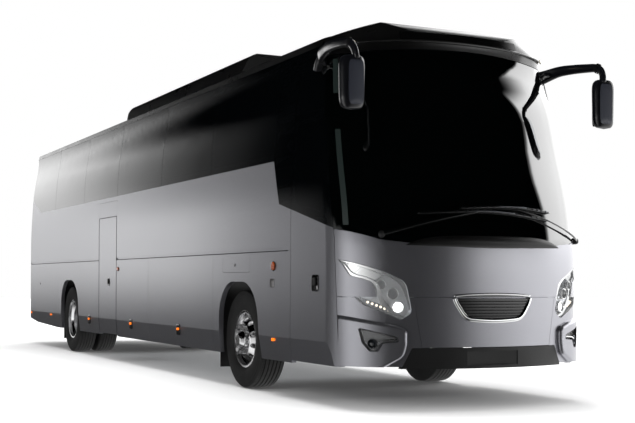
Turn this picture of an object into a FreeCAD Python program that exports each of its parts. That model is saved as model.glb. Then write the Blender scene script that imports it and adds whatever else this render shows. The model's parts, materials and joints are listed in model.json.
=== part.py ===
import FreeCAD, Part
import math
import os
import re
import Sketcher
from FreeCAD import Placement, Rotation, Vector

# A two-axle high-deck touring coach.  Millimetres, +Z up, the nose towards -Y and the
# doors on the -X side.  The origin is on the ground, midway along and across the body.

doc = FreeCAD.newDocument("coach")
sheet = doc.addObject("Spreadsheet::Sheet", "dims")

# alias, value, what it drives
DIMENSIONS = (
    ("body_length", 12920, "front panel to rear bumper"),
    ("body_width", 2550, "over the side panels"),
    ("wheelbase", 7060, "front axle to rear axle"),
    ("front_overhang", 2820, "front panel to front axle"),
    ("wall", 55, "thickness of walls, doors and flaps"),
    ("glass", 8, "thickness of bonded glass"),
    ("gap", 3, "half of the shut line between two panels"),
    ("skirt_height", 350, "underside of the side skirts"),
    ("rail_height", 1400, "shut line above the luggage flaps"),
    ("waist_height", 2270, "bottom of the side glass"),
    ("gutter_height", 3250, "top of the side glass"),
    ("crown_height", 3530, "roof at the centre line"),
    ("pod_height", 3730, "top of the roof cooling unit"),
    ("deck_height", 1350, "passenger floor"),
    ("deck_sheet", 40, "thickness of floors and bulkheads"),
    ("cab_floor_height", 900, "driver's platform"),
    ("bay_floor_height", 440, "luggage floor"),
    ("bay_front", -2945, "luggage space, from"),
    ("bay_rear", 2690, "luggage space, to"),
    ("stair_front", 790, "middle door, from"),
    ("stair_rear", 1670, "middle door, to"),
    ("seat_pitch", 790, "between rows of seats"),
    ("seat_pair_width", 880, "two passenger seats"),
    ("seat_back_height", 1130, "top of a passenger seat above the deck"),
    ("engine_width", 760, "engine block"),
    ("engine_length", 1300, "engine block"),
    ("engine_height", 640, "engine block"),
    ("engine_front", 4700, "nearest face of the engine"),
    ("engine_base", 450, "underside of the engine"),
    ("flap_width", 320, "mudflap behind a wheel"),
    ("flap_bottom", 180, "lower edge of the mudflaps"),
    ("tyre_radius", 512, "rolling radius, also the height of the wheel centres"),
    ("tyre_width", 292, "section width"),
    ("rim_radius", 286, "bead seat"),
    ("rim_half", 122, "half of the width over the rim's flanges"),
    ("front_track", 2116, "between the centres of the front tyres"),
    ("twin_outer", 1087, "centre of an outer rear tyre"),
    ("twin_inner", 749, "centre of an inner rear tyre"),
    ("bolt_circle", 145, "radius of the wheel studs' circle"),
    ("stud_radius", 16, "wheel nuts"),
    ("stud_count", 10, "wheel studs, and hand holes between them"),
    ("hand_hole", 27, "radius of the holes in the disc"),
    ("hand_hole_circle", 207, "radius of the circle they stand on"),
    ("kingpin_track", 1840, "between the steering pivots"),
    ("kingpin_radius", 25, "steering pivot"),
    ("fit", 0.3, "radial play of a pin in its bore"),
    ("spindle_radius", 45, "wheel bearings' seat"),
    ("arm_length", 120, "steering arm, pivot to tie rod"),
    ("tie_rod_drop", 190, "tie rod below the wheel centres"),
    ("tie_rod_radius", 18, "tie rod"),
    ("tie_pin_radius", 14, "tie rod's end pins"),
)
for row, (alias, value, note) in enumerate(DIMENSIONS, 1):
    sheet.set("A%d" % row, note)
    sheet.set("B%d" % row, str(value))
    sheet.setAlias("B%d" % row, alias)
doc.recompute()


def size(alias):
    return float(sheet.get(alias))


HALF_WIDTH = size("body_width") / 2
NOSE = -size("body_length") / 2
TAIL = size("body_length") / 2
FRONT_AXLE = NOSE + size("front_overhang")
REAR_AXLE = FRONT_AXLE + size("wheelbase")
HUB = size("tyre_radius")                          # height of the wheel centres
WALL = size("wall")
GLASS = size("glass")
GAP = size("gap")
SKIRT = size("skirt_height")
RAIL = size("rail_height")
WAIST = size("waist_height")
GUTTER = size("gutter_height")
CROWN = size("crown_height")
DECK = size("deck_height")
CAB_FLOOR = size("cab_floor_height")
BAY = (size("bay_front"), size("bay_rear"))
STAIR = (size("stair_front"), size("stair_rear"))
INNER = HALF_WIDTH - WALL - 0.5                    # inner face of the side walls, with a little play
OVER = HALF_WIDTH + 150                            # well outside a side wall

# ---------------------------------------------------------------- objects bound to the sheet
# Sizes and places below are formulas of the sheet's aliases, such as "tyre_radius - 65".

FRONT = "(front_overhang - body_length / 2)"               # y of the front axle
REAR = "(front_overhang - body_length / 2 + wheelbase)"    # y of the rear axle
INSIDE = "(body_width / 2 - wall - 0.5)"
subparts = []


def formula(text):
    return re.sub(r"[a-z_]{3,}", lambda word: "dims." + word.group(), str(text))


def worth(text):
    return float(sheet.evalExpression(formula(text)))


def bind(item, bindings):
    for target, text in bindings.items():
        item.setExpression(target, formula(text))
    return item


def place_at(item, x, y, z):
    return bind(item, {"Placement.Base.x": x, "Placement.Base.y": y, "Placement.Base.z": z})


def subpart(label, item):
    """Names an object as a sub-part of the coach."""
    item.Label = label
    subparts.append(item)
    return item


def panel(label, shape, place=None):
    """A sub-part whose free form is made by Part's own functions."""
    item = doc.addObject("Part::Feature", label)
    item.Shape = shape
    if place:
        item.Placement = place
    return subpart(label, item)


def box(name, x, y, z):
    """Box between three (low, high) pairs of formulas."""
    item = doc.addObject("Part::Box", name)
    for target, (low, high) in (("Length", x), ("Width", y), ("Height", z)):
        item.setExpression(target, formula("(%s) - (%s)" % (high, low)))
    return place_at(item, x[0], y[0], z[0])


AXES = {"X": Rotation(Vector(0, 1, 0), 90), "Y": Rotation(Vector(1, 0, 0), -90), "Z": Rotation()}


def cylinder(name, axis, radius, start, length):
    """Cylinder along +X, +Y or +Z from its start point."""
    item = doc.addObject("Part::Cylinder", name)
    item.Placement = Placement(Vector(), AXES[axis])
    bind(item, {"Radius": radius, "Height": length})
    return place_at(item, *start)


def fused(name, shapes):
    item = doc.addObject("Part::MultiFuse", name)
    item.Shapes = shapes
    item.Refine = True
    return item


def cut(name, base, tool):
    item = doc.addObject("Part::Cut", name)
    item.Base = base
    item.Tool = tool
    item.Refine = True
    return item


def grouped(name, members):
    item = doc.addObject("Part::Compound", name)
    item.Links = members
    return item


def left_hand(name, item):
    """The other side's twin of a right-hand object."""
    twin = doc.addObject("Part::Mirroring", name)
    twin.Source = item
    twin.Normal = Vector(1, 0, 0)
    return twin


def outline_edges(corners):
    """Curves of a closed outline through corners (a, b) or (a, b, radius of its arc)."""
    points = [Vector(corner[0], corner[1], 0) for corner in corners]
    ends = []
    for index, corner in enumerate(corners):
        here = points[index]
        radius = corner[2] if len(corner) > 2 else 0
        if not radius:
            ends.append((here, None, here))
            continue
        back = (points[index - 1] - here).normalize()
        ahead = (points[(index + 1) % len(points)] - here).normalize()
        half_turn = back.getAngle(ahead) / 2
        run = radius / math.tan(half_turn)
        middle = (back + ahead).normalize()
        bulge = here + middle * (radius / math.sin(half_turn) - radius)
        ends.append((here + back * run, bulge, here + ahead * run))
    curves = []
    for index, (start, bulge, finish) in enumerate(ends):
        if bulge is not None:
            curves.append(Part.ArcOfCircle(start, bulge, finish))
        after = ends[(index + 1) % len(ends)][0]
        if (after - finish).Length > 1e-6:
            curves.append(Part.LineSegment(finish, after))
    return curves


def datum(body, role):
    return next(feature for feature in body.Origin.OriginFeatures if feature.Role == role)


def sketch_on(body, role, name):
    sketch = body.newObject("Sketcher::SketchObject", name)
    sketch.AttachmentSupport = (datum(body, role), [""])
    sketch.MapMode = "FlatFace"
    return sketch


def constrain(sketch, constraint, text):
    number = sketch.addConstraint(constraint)
    sketch.setExpression("Constraints[%d]" % number, formula(text))


def outline_sketch(body, role, name, corners):
    """Closed sketch: its sharp corners and its arcs' radii are bound to formulas."""
    sketch = sketch_on(body, role, name)
    numbers = [tuple(worth(part) for part in corner) for corner in corners]
    curves = outline_edges(numbers)
    for curve in curves:
        sketch.addGeometry(curve, False)

    def meeting(first, second):
        pairs = [(a, b) for a in (1, 2) for b in (1, 2)]
        return min(pairs, key=lambda pair: (sketch.getPoint(first, pair[0])
                                            - sketch.getPoint(second, pair[1])).Length)

    for index in range(len(curves)):
        after = (index + 1) % len(curves)
        here_end, after_end = meeting(index, after)
        sketch.addConstraint(Sketcher.Constraint("Coincident", index, here_end, after, after_end))
    ends = [(index, end) for index in range(len(curves)) for end in (1, 2)]
    arcs = [index for index, curve in enumerate(curves) if hasattr(curve, "Radius")]
    for corner, number in zip(corners, numbers):
        spot = Vector(number[0], number[1], 0)
        if len(corner) > 2:
            arc = min(arcs, key=lambda index: (curves[index].value(
                (curves[index].FirstParameter + curves[index].LastParameter) / 2) - spot).Length)
            constrain(sketch, Sketcher.Constraint("Radius", arc, number[2]), corner[2])
            continue
        index, end = min(ends, key=lambda pair: (sketch.getPoint(*pair) - spot).Length)
        constrain(sketch, Sketcher.Constraint("DistanceX", -1, 1, index, end, number[0]), corner[0])
        constrain(sketch, Sketcher.Constraint("DistanceY", -1, 1, index, end, number[1]), corner[1])
    return sketch


def new_body(name):
    return doc.addObject("PartDesign::Body", name)


def add_turned(body, name, corners):
    """Ring turned about the X axis from corners (x, radius) or (x, radius, arc)."""
    turn = body.newObject("PartDesign::Revolution", name)
    turn.Profile = outline_sketch(body, "XY_Plane", name + "_section", corners)
    turn.ReferenceAxis = (turn.Profile[0], ["H_Axis"])
    turn.Angle = 360
    body.Tip = turn
    doc.recompute()
    return turn


def add_padded(body, name, role, corners, length):
    """Outline carried to both sides of its plane."""
    pad = body.newObject("PartDesign::Pad", name)
    pad.Profile = outline_sketch(body, role, name + "_outline", corners)
    pad.Midplane = True
    bind(pad, {"Length": length})
    body.Tip = pad
    doc.recompute()
    return pad


def add_ring(body, feature, count):
    """Repeats a feature round the X axis."""
    ring = body.newObject("PartDesign::PolarPattern", feature.Name + "_ring")
    ring.Originals = [feature]
    ring.Axis = (datum(body, "X_Axis"), [""])
    ring.Angle = 360
    bind(ring, {"Occurrences": count})
    body.Tip = ring
    doc.recompute()
    return ring


# ---------------------------------------------------------------- free forms

def rounded_wire(corners):
    """Closed wire in the XY plane through corners (a, b) or (a, b, radius of its arc)."""
    return Part.Wire([curve.toShape() for curve in outline_edges(corners)])


def prism(axis, corners, low, high):
    """Outline carried straight along an axis: corners are (y, z), (x, z) or (x, y)."""
    face = Part.Face(rounded_wire(corners))
    if axis == "Y":
        face.Placement = Placement(Vector(0, low, 0), Rotation(Vector(1, 0, 0), 90))
        return face.extrude(Vector(0, high - low, 0))
    if axis == "X":
        face.Placement = Placement(Vector(low, 0, 0), Rotation(Vector(1, 1, 1), 120))
        return face.extrude(Vector(high - low, 0, 0))
    face.Placement = Placement(Vector(0, 0, low), Rotation())
    return face.extrude(Vector(0, 0, high - low))


def block(x, y, z):
    """Box from three (low, high) pairs."""
    return Part.makeBox(x[1] - x[0], y[1] - y[0], z[1] - z[0], Vector(x[0], y[0], z[0]))


def across(y, z):
    """Box over the whole width of the coach."""
    return block((-OVER, OVER), y, z)


def mirrored(shape):
    return shape.mirror(Vector(0, 0, 0), Vector(1, 0, 0))


def both_sides(shape):
    return Part.makeCompound([shape, mirrored(shape)])


def cut_all(shape, tools):
    for tool in tools:
        shape = shape.cut(tool)
    return shape


def grown(corners, margin):
    """The same outline with its corners pushed out from its middle by a margin."""
    middle = [sum(corner[axis] for corner in corners) / len(corners) for axis in (0, 1)]
    moved = []
    for corner in corners:
        ends = [corner[axis] + math.copysign(margin, corner[axis] - middle[axis]) for axis in (0, 1)]
        moved.append(tuple(ends) + tuple(corner[2:]))
    return moved


# ---------------------------------------------------------------- the body's outer form

LEAN_HEIGHT = 1700        # the sides lean in above this height
LEAN_RADIUS = 11186
RAKE_HEIGHT = 1350        # the windscreen leans back above this height
RAKE_RADIUS = 2112
RAKE_ARC = 655
RAKE_SLOPE = 0.31
STERN_HEIGHT = 1200       # the tail leans forward above this height
STERN_RADIUS = 16960
NOSE_RADIUS = 2200        # plan radius of the nose, and its share of the width
NOSE_SHARE = 0.745
BROW_SHARE = 0.66         # the same above the windscreen, where the corners round off upwards
BROW_ROUNDING = 0.0022    # share lost per millimetre of height
TAIL_RADIUS = 7000
TAIL_SHARE = 0.86
EAVES = 1080              # half width of the crowned roof
EAVES_DROP = 76           # height of the rounded edge beside it
CROWN_RADIUS = 3133
TUCK_HEIGHT = 600         # the skirts lean in below this height
WALL_LEVELS = (150, 450, 750, 1050, 1350, 1570, 1790, 2005, 2400, 2800, 3250)
DOME_LEVELS = (3250, 3330, 3420, 3520, 3640)


def half_width(level):
    return HALF_WIDTH - max(level - LEAN_HEIGHT, 0) ** 2 / (2 * LEAN_RADIUS)


def nose_line(level):
    rise = min(max(level - RAKE_HEIGHT, 0), RAKE_ARC)
    return NOSE + rise ** 2 / (2 * RAKE_RADIUS) + RAKE_SLOPE * max(level - RAKE_HEIGHT - RAKE_ARC, 0)


def tail_line(level):
    return TAIL - max(level - STERN_HEIGHT, 0) ** 2 / (2 * STERN_RADIUS)


def plan_end(level, inset, tip, inward, radius, share):
    """Points of one end of the plan outline: a wide arc, then a corner arc into the side."""
    half = half_width(level)
    turn = math.asin(share * half / radius)
    corner = (1 - share) * half / (1 - math.sin(turn))
    hub_y = tip + inward * radius
    corner_x = (radius - corner) * math.sin(turn)
    corner_y = hub_y - inward * (radius - corner) * math.cos(turn)
    radius -= inset
    corner -= inset
    middle = (turn + math.pi / 2) / 2
    return (
        Vector(0, hub_y - inward * radius, level),
        Vector(radius * math.sin(turn), hub_y - inward * radius * math.cos(turn), level),
        Vector(corner_x + corner * math.sin(middle), corner_y - inward * corner * math.cos(middle), level),
        Vector(half - inset, corner_y, level),
    )


def plan_wire(level, inset, share):
    """Plan outline at one height, every wall moved in by inset."""
    def flipped(point):
        return Vector(-point.x, point.y, point.z)

    tip, shoulder, bend, side_end = plan_end(level, inset, nose_line(level), 1, NOSE_RADIUS, share)
    back_tip, back_shoulder, back_bend, back_side = plan_end(
        level, inset, tail_line(level), -1, TAIL_RADIUS, TAIL_SHARE)
    curves = (
        Part.LineSegment(side_end, back_side),
        Part.Arc(back_side, back_bend, back_shoulder),
        Part.Arc(back_shoulder, back_tip, flipped(back_shoulder)),
        Part.Arc(flipped(back_shoulder), flipped(back_bend), flipped(back_side)),
        Part.LineSegment(flipped(back_side), flipped(side_end)),
        Part.Arc(flipped(side_end), flipped(bend), flipped(shoulder)),
        Part.Arc(flipped(shoulder), tip, shoulder),
        Part.Arc(shoulder, bend, side_end),
    )
    return Part.Wire([curve.toShape() for curve in curves])


def polyline(points):
    return [Part.LineSegment(Vector(*a), Vector(*b)) for a, b in zip(points, points[1:])]


def section_form(inset, bottom):
    """Body seen from the front: skirts tucked in a little, a crowned roof with rounded eaves."""
    crown = CROWN - inset
    radius = CROWN_RADIUS - inset
    eaves_height = crown - radius + math.sqrt(radius ** 2 - EAVES ** 2)
    foot = eaves_height - EAVES_DROP
    edge = 1190 - inset
    corner = (1143 - inset * 0.8, 0, eaves_height - 20 - inset * 0.2)
    waist = HALF_WIDTH + 2 - inset
    hem = 1254 - inset
    curves = [
        Part.Arc(Vector(EAVES, 0, eaves_height), Vector(0, 0, crown), Vector(-EAVES, 0, eaves_height)),
        Part.Arc(Vector(-EAVES, 0, eaves_height), Vector(-corner[0], 0, corner[2]), Vector(-edge, 0, foot)),
        Part.Arc(Vector(edge, 0, foot), Vector(*corner), Vector(EAVES, 0, eaves_height)),
    ]
    curves += polyline([(-edge, 0, foot), (-OVER, 0, foot), (-OVER, 0, TUCK_HEIGHT), (-waist, 0, TUCK_HEIGHT),
                        (-hem, 0, bottom), (hem, 0, bottom), (waist, 0, TUCK_HEIGHT), (OVER, 0, TUCK_HEIGHT),
                        (OVER, 0, foot), (edge, 0, foot)])
    face = Part.Face(Part.Wire(Part.__sortEdges__([curve.toShape() for curve in curves])))
    face.translate(Vector(0, NOSE - 100, 0))
    return face.extrude(Vector(0, TAIL - NOSE + 200, 0))


def side_form(inset, bottom, open_below):
    """Body seen from the side: the domed front of the roof, its rounded tail, the raised stern."""
    before, after = NOSE - 100, TAIL + 100
    ridge = CROWN + 4 - inset
    dome = [
        Part.Arc(Vector(0, -6030 + inset, 3190), Vector(0, -5840 + inset * 0.7, 3385 - inset * 0.7),
                 Vector(0, -5500 + inset * 0.2, 3470 - inset)),
        Part.Arc(Vector(0, -5500 + inset * 0.2, 3470 - inset), Vector(0, -5000, 3522 - inset),
                 Vector(0, -4500, ridge)),
        Part.Arc(Vector(0, 5900, ridge), Vector(0, 6230 - inset * 0.5, 3450 - inset),
                 Vector(0, 6400 - inset, 3180)),
    ]
    dome += polyline([(0, -4500, ridge), (0, 5900, ridge)])
    outline = [(0, 6400 - inset, 3180), (0, after, 3180)]
    raised = [(0, after, 490), (0, 5700, 395), (0, ENGINE_BAY[0], bottom)]
    outline += [(0, after, bottom)] if open_below else raised
    outline += [(0, before, bottom), (0, before, 3190), (0, -6030 + inset, 3190)]
    curves = dome + polyline(outline)
    profile = Part.Face(Part.Wire(Part.__sortEdges__([curve.toShape() for curve in curves])))
    profile.translate(Vector(-OVER, 0, 0))
    return profile.extrude(Vector(2 * OVER, 0, 0))


def body_form(inset, open_below=True):
    """The whole body as one solid, every wall moved in by inset."""
    walls = Part.makeLoft([plan_wire(level, inset, NOSE_SHARE) for level in WALL_LEVELS], True, False)
    shares = [max(BROW_SHARE - BROW_ROUNDING * (level - DOME_LEVELS[0]), 0.2) for level in DOME_LEVELS]
    rings = [plan_wire(level, inset, share) for level, share in zip(DOME_LEVELS, shares)]
    dome = Part.makeLoft(rings, True, False)
    bottom = 200 if open_below else SKIRT
    form = walls.fuse(dome).common(section_form(inset, bottom))
    return form.common(side_form(inset, bottom, open_below))


ENGINE_BAY = (4226, 6150)
outer = body_form(0, open_below=False)
behind_glass = body_form(GLASS + 1)
hollow = body_form(WALL)
shell = outer.cut(hollow)                          # every wall, as thick as it is
glazing = outer.cut(body_form(GLASS))              # the bonded glass
cabin_space = body_form(WALL + 4)

# ---------------------------------------------------------------- shut lines, seen from the side

CAB_REAR = -4985          # rear edge of the front door
DOOR_LINE = ((-5930, 150), (-5930, 373), (-5860, 1500), (-5690, WAIST), (-5440, GUTTER))
DOOR_FOOT = 373
CAB_WAIST = (-4712, 1849, 0.237)                   # y, z and slope of the cab's falling waist line
STERN = 6150              # the tail panels wrap the corners behind this line
PANES = (-4580, -2818, -1097, 815, 2583, 4417)
PILLAR = 55               # from a joint between panes to the edge of an opening
LIGHT = (WAIST + 70, GUTTER - 90)                  # height of the window openings behind the glass
STAIR_HEAD = 2215         # top of the middle door
GROOVE = (RAIL + 4, RAIL + 28)                     # rub rail's groove above the flaps


def cab_waist(y):
    return CAB_WAIST[1] + CAB_WAIST[2] * (y - CAB_WAIST[0])


def side(corners, inner=1000):
    """Region of the right-hand side, given as (y, z) corners."""
    return prism("X", corners, -OVER, -inner)


def rectangle(y, z, radius=0):
    return [(y[0], z[0], radius), (y[1], z[0], radius), (y[1], z[1], radius), (y[0], z[1], radius)]


ARCH_FRONT = [(FRONT_AXLE + 517, 150), (FRONT_AXLE + 505, 1107, 400), (FRONT_AXLE - 499, 1107, 420),
              (FRONT_AXLE - 665, 150)]
ARCH_REAR = [(REAR_AXLE + 525, 150), (REAR_AXLE + 505, 1122, 380), (REAR_AXLE - 530, 1122, 460),
             (REAR_AXLE - 645, 150)]
arches = side(ARCH_FRONT).fuse(side(ARCH_REAR))

cab_side = [(NOSE - 200, 100)] + [(y - 2 * GAP, z) for y, z in DOOR_LINE]
cab_side += [(-5383, 3290), (-5383, 3700), (NOSE - 200, 3700)]
front_of_doors = prism("X", cab_side, -OVER, OVER)

stern_glass = [(5460, WAIST + 10), (STERN - GAP, 2528), (STERN - GAP, GUTTER - GAP)]
glass_edge = [(CAB_REAR + GAP, cab_waist(CAB_REAR)), CAB_WAIST[:2], (-4552, WAIST)] + stern_glass
glass_edge += [(CAB_REAR + GAP, GUTTER - GAP)]


def pillar_gaps():
    """Window openings between the pillars: one per pane, rounded at the corners."""
    edges = (PANES[0],) + PANES[1:]
    openings = [side(rectangle((start + PILLAR, finish - PILLAR), LIGHT, 60))
                for start, finish in zip(edges, edges[1:])]
    last = [(PANES[-1] + PILLAR, LIGHT[0], 60), (5420, LIGHT[0] + 12, 60), (STERN - 75, 2590, 60),
            (STERN - 75, LIGHT[1], 60), (PANES[-1] + PILLAR, LIGHT[1], 60)]
    return openings + [side(last)]


def glass_panes(band):
    """The bonded glass cut into panes at the pillars."""
    return cut_all(band, [side(rectangle((line - GAP, line + GAP), (WAIST - 500, GUTTER))) for line in PANES])


def flap_hole(y):
    return side(rectangle(y, (100, RAIL + GAP)), 1100)


def flap_shape(y):
    return shell.common(side(rectangle((y[0] + GAP, y[1] - GAP), (100, RAIL - GAP)), 1100))


groove = glazing.common(block((-OVER, -1100), (-4797, STERN), GROOVE))

# ---------------------------------------------------------------- side walls and their glass

FUEL_FLAP = rectangle((-3996, -3245), (1204, RAIL - GAP), 25)

wall = shell.common(side(rectangle((CAB_REAR + GAP, STERN - GAP), (100, GUTTER - GAP))))
right_openings = [
    glazing.common(side(glass_edge)), arches, groove,
    flap_hole((BAY[0], STAIR[0])), flap_hole((STAIR[1], BAY[1])), flap_hole((ENGINE_BAY[0], STERN + 50)),
    side(rectangle((STAIR[0] - GAP, STAIR[1] + GAP), (100, STAIR_HEAD + GAP)), 1100),
    side(grown(FUEL_FLAP, GAP), 1100),
]
panel("right_wall", cut_all(wall, right_openings + pillar_gaps()))
panel("right_windows", glass_panes(glazing.common(side(glass_edge))))

left_edge = [(-5843, cab_waist(-5843))] + glass_edge[1:6] + [(-5440, GUTTER - GAP), (-5690, WAIST)]
left_side = [(DOOR_LINE[1][0], 100)] + list(DOOR_LINE[1:]) + [(STERN - GAP, GUTTER - GAP), (STERN - GAP, 100)]
driver_window = side([(-5560, 1700, 60), (-4700, 1930, 60), (-4700, 3120, 60), (-5330, 3120, 60)])
left_openings = [
    glazing.common(side(left_edge)), arches, groove, driver_window,
    flap_hole(BAY), flap_hole((ENGINE_BAY[0], STERN + 50)),
]
panel("left_wall", mirrored(cut_all(shell.common(side(left_side)), left_openings + pillar_gaps())))
panel("left_windows", mirrored(glass_panes(glazing.common(side(left_edge)))))

# ---------------------------------------------------------------- doors

door_zone = [(CAB_REAR - GAP, DOOR_FOOT), (CAB_REAR - GAP, GUTTER - GAP)] + list(reversed(DOOR_LINE[1:]))
door_edge = [(CAB_REAR - GAP, cab_waist(CAB_REAR)), (CAB_REAR - GAP, GUTTER - GAP), (-5440, GUTTER),
             (-5690, WAIST), (-5843, cab_waist(-5843))]
door_lights = (
    [(-5052, 1862, 50), (-5052, 2560, 50), (-5640, 2560, 50), (-5760, 1700, 50)],
    [(-5052, 2660, 50), (-5052, 3170, 50), (-5440, 3170, 50), (-5590, 2660, 50)],
)
front_door = shell.common(side(door_zone)).cut(glazing.common(side(door_edge)))
panel("front_door", cut_all(front_door, [side(light) for light in door_lights]))
panel("front_door_glass", glazing.common(side(door_edge)))
panel("middle_door", shell.common(side(rectangle(STAIR, (DOOR_FOOT, STAIR_HEAD)), 1100)))

# ---------------------------------------------------------------- flaps, all hung from their top edges

# label, from, to
RIGHT_FLAPS = (
    ("luggage_flap_right_front", BAY[0], -640),
    ("luggage_flap_right_middle", -640, STAIR[0] - GAP),
    ("luggage_flap_right_rear", STAIR[1] + GAP, BAY[1]),
    ("engine_flap_right", *ENGINE_BAY),
)
LEFT_FLAPS = (
    ("luggage_flap_left_front", BAY[0], -1097),
    ("luggage_flap_left_middle", -1097, 815),
    ("luggage_flap_left_rear", 815, BAY[1]),
    ("engine_flap_left", *ENGINE_BAY),
)
VENT = (5300, 6000, 1010, 1290, 5)                 # engine bay's air intake: y, y, z, z and its slots


def vented(flap):
    """Engine flap with a row of sloping intake slots."""
    y_low, y_high, z_low, z_high, count = VENT
    pitch = (z_high - z_low) / count
    slots = [side([(y_low, z_low + pitch * row, 9), (y_high, z_low + pitch * row, 9),
                   (y_high, z_low + pitch * (row + 0.45), 9), (y_low, z_low + pitch * (row + 0.45), 9)], 1100)
             for row in range(count)]
    return cut_all(flap, slots)


for label, start, finish in RIGHT_FLAPS:
    panel(label, flap_shape((start, finish)))
for label, start, finish in LEFT_FLAPS:
    flap = flap_shape((start, finish))
    panel(label, mirrored(vented(flap) if label.startswith("engine") else flap))
panel("fuel_flap", shell.common(side(FUEL_FLAP, 1257)))

# ---------------------------------------------------------------- roof

roof = shell.common(across((-5377, TAIL), (GUTTER, 3700)))
HATCHES = (2700, 4900)
HATCH = 760
for y in HATCHES:
    hatch = block((-HATCH / 2, HATCH / 2), (y, y + HATCH), (CROWN - 60, CROWN + 45))
    hatch = hatch.makeFillet(18, [edge for edge in hatch.Edges if edge.BoundBox.ZMin > CROWN + 40])
    roof = roof.fuse(hatch.cut(outer))
panel("roof", roof.removeSplitter())

# ---------------------------------------------------------------- windscreen and the panels round it

SCREEN_FOOT = 1404
SCREEN_HEAD = 3195
FOOT_RISE = 66            # the foot is bowed, and its outer corners lift
FOOT_LIFT = 0.37
HEAD_DROP = 50


def screen_outline(low, high, reach):
    """Windscreen seen from the front: a bowed foot with lifted corners, and a bowed head."""
    corner = low + FOOT_RISE
    lift = corner + (reach - 1000) * FOOT_LIFT
    curves = [
        Part.Arc(Vector(-1000, 0, corner), Vector(0, 0, low), Vector(1000, 0, corner)),
        Part.Arc(Vector(1060, 0, high - HEAD_DROP), Vector(0, 0, high), Vector(-1060, 0, high - HEAD_DROP)),
    ]
    for sign in (-1, 1):
        curves += polyline([(sign * 1000, 0, corner), (sign * reach, 0, lift),
                            (sign * reach, 0, high - HEAD_DROP - 10), (sign * 1060, 0, high - HEAD_DROP)])
    face = Part.Face(Part.Wire(Part.__sortEdges__([curve.toShape() for curve in curves])))
    face.translate(Vector(0, NOSE - 150, 0))
    return face.extrude(Vector(0, 1300, 0))


nose_shell = shell.common(front_of_doors)
screen_zone = screen_outline(SCREEN_FOOT + GAP, SCREEN_HEAD - GAP, OVER)
panel("windscreen", glazing.common(screen_zone.common(front_of_doors)))
below_head = screen_outline(1000, SCREEN_HEAD + GAP, OVER)
panel("front_dome", nose_shell.common(across((NOSE - 150, -5380), (3000, 3700)).cut(below_head)))

# ---------------------------------------------------------------- front panels

SEAM = 979                # shut line between the mask and the bumper
FLAP_OUTLINE = [(-735, SEAM), (-660, 551), (660, 551), (735, SEAM)]
VALANCE_OUTLINE = [(-742, 545), (-828, 367), (828, 367), (742, 545)]
LAMP_OUTLINE = [(-1240, 1298), (-1000, 1212, 300), (-800, 1112, 110), (-748, 850, 60), (-835, 788, 30),
                (-1120, 920, 100), (-1165, 985, 8), (-1010, 945, 30), (-1050, 1112, 60), (-1190, 1165, 30)]
FOG_OUTLINE = [(-1155, 715, 8), (-885, 640, 12), (-872, 602, 8), (-992, 590, 10), (-1030, 520, 12),
               (-1086, 520, 12), (-1132, 590, 10)]
CHEEK_OUTLINE = [(-1400, 838), (-1239, 821, 300), (-1066, 780, 300), (-920, 751, 90), (-789, 709, 60),
                 (-788, 573, 150), (-811, 471, 110), (-957, 385), (-1400, 385)]
CHEEK_DEPTH = 45          # the bumper's cheeks stand this far in front of the flap
CHEEK_EDGE = 30
PLATE_HOLES = 220         # half the distance between a number plate's two screws
PLATE_SIZE = (262, 60)    # half width and half height of its flat seat


def facing(corners, margin=0, rear=-5200):
    """Region of the nose, given as (x, z) corners and grown by a margin."""
    wire = rounded_wire(corners)
    if margin:
        wire = wire.makeOffset2D(margin, 2)
    face = Part.Face(wire)
    face.Placement = Placement(Vector(0, NOSE - 150, 0), Rotation(Vector(1, 0, 0), 90))
    return face.extrude(Vector(0, rear - NOSE + 150, 0))


def plate_seat(solid, y, inward, z):
    """Flat seat of a number plate with its two screw holes, facing along Y."""
    half_x, half_z = PLATE_SIZE
    solid = solid.cut(block((-half_x, half_x), sorted((y, y - inward * 200)), (z - half_z, z + half_z)))
    for x in (-PLATE_HOLES, PLATE_HOLES):
        solid = solid.cut(Part.makeCylinder(3, 240, Vector(x, y - 120, z), Vector(0, 1, 0)))
    return solid


lamp_holes = both_sides(facing(LAMP_OUTLINE, GAP))
fog_holes = both_sides(facing(FOG_OUTLINE, GAP))
nose_low = nose_shell.cut(screen_outline(SCREEN_FOOT - GAP, 4200, OVER))

screen_frame = nose_shell.common(behind_glass)
screen_frame = screen_frame.common(screen_outline(SCREEN_FOOT - GAP, SCREEN_HEAD - GAP, OVER))
screen_frame = screen_frame.cut(screen_outline(SCREEN_FOOT + 60, SCREEN_HEAD - 70, 1075))
front_mask = nose_low.common(across((NOSE - 150, -5200), (SEAM + GAP, 1800))).cut(lamp_holes)
panel("front_mask", front_mask.fuse(screen_frame).removeSplitter())

bumper = nose_low.common(across((NOSE - 150, -5200), (385, SEAM - GAP)))
bumper = cut_all(bumper, [facing(FLAP_OUTLINE, GAP), facing(VALANCE_OUTLINE, GAP)])
SLIVER = 1e6              # cubic millimetres: what the lamps leave above them goes
forward = outer.copy()
forward.translate(Vector(0, -CHEEK_DEPTH, 0))
cheek = forward.common(facing(CHEEK_OUTLINE))
cheek = cheek.common(across((NOSE - 150, DOOR_LINE[0][0] - 2 * GAP), (300, 900)))
rim_edges = [edge for edge in cheek.Edges if edge.BoundBox.YMax < -5940 and edge.BoundBox.XMax > -1200]
cheek = cheek.makeFillet(CHEEK_EDGE, rim_edges).cut(hollow)
bumper = bumper.cut(both_sides(facing(CHEEK_OUTLINE))).multiFuse([cheek, mirrored(cheek)])
corners = cut_all(bumper, [lamp_holes, fog_holes]).removeSplitter().Solids
panel("front_bumper", Part.makeCompound([corner for corner in corners if corner.Volume > SLIVER]))
FLAP_WALL = 22            # the flap is a thinner moulding, so that its ends swing clear of the bumper
behind_flap = outer.copy()
behind_flap.translate(Vector(0, FLAP_WALL, 0))
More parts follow.
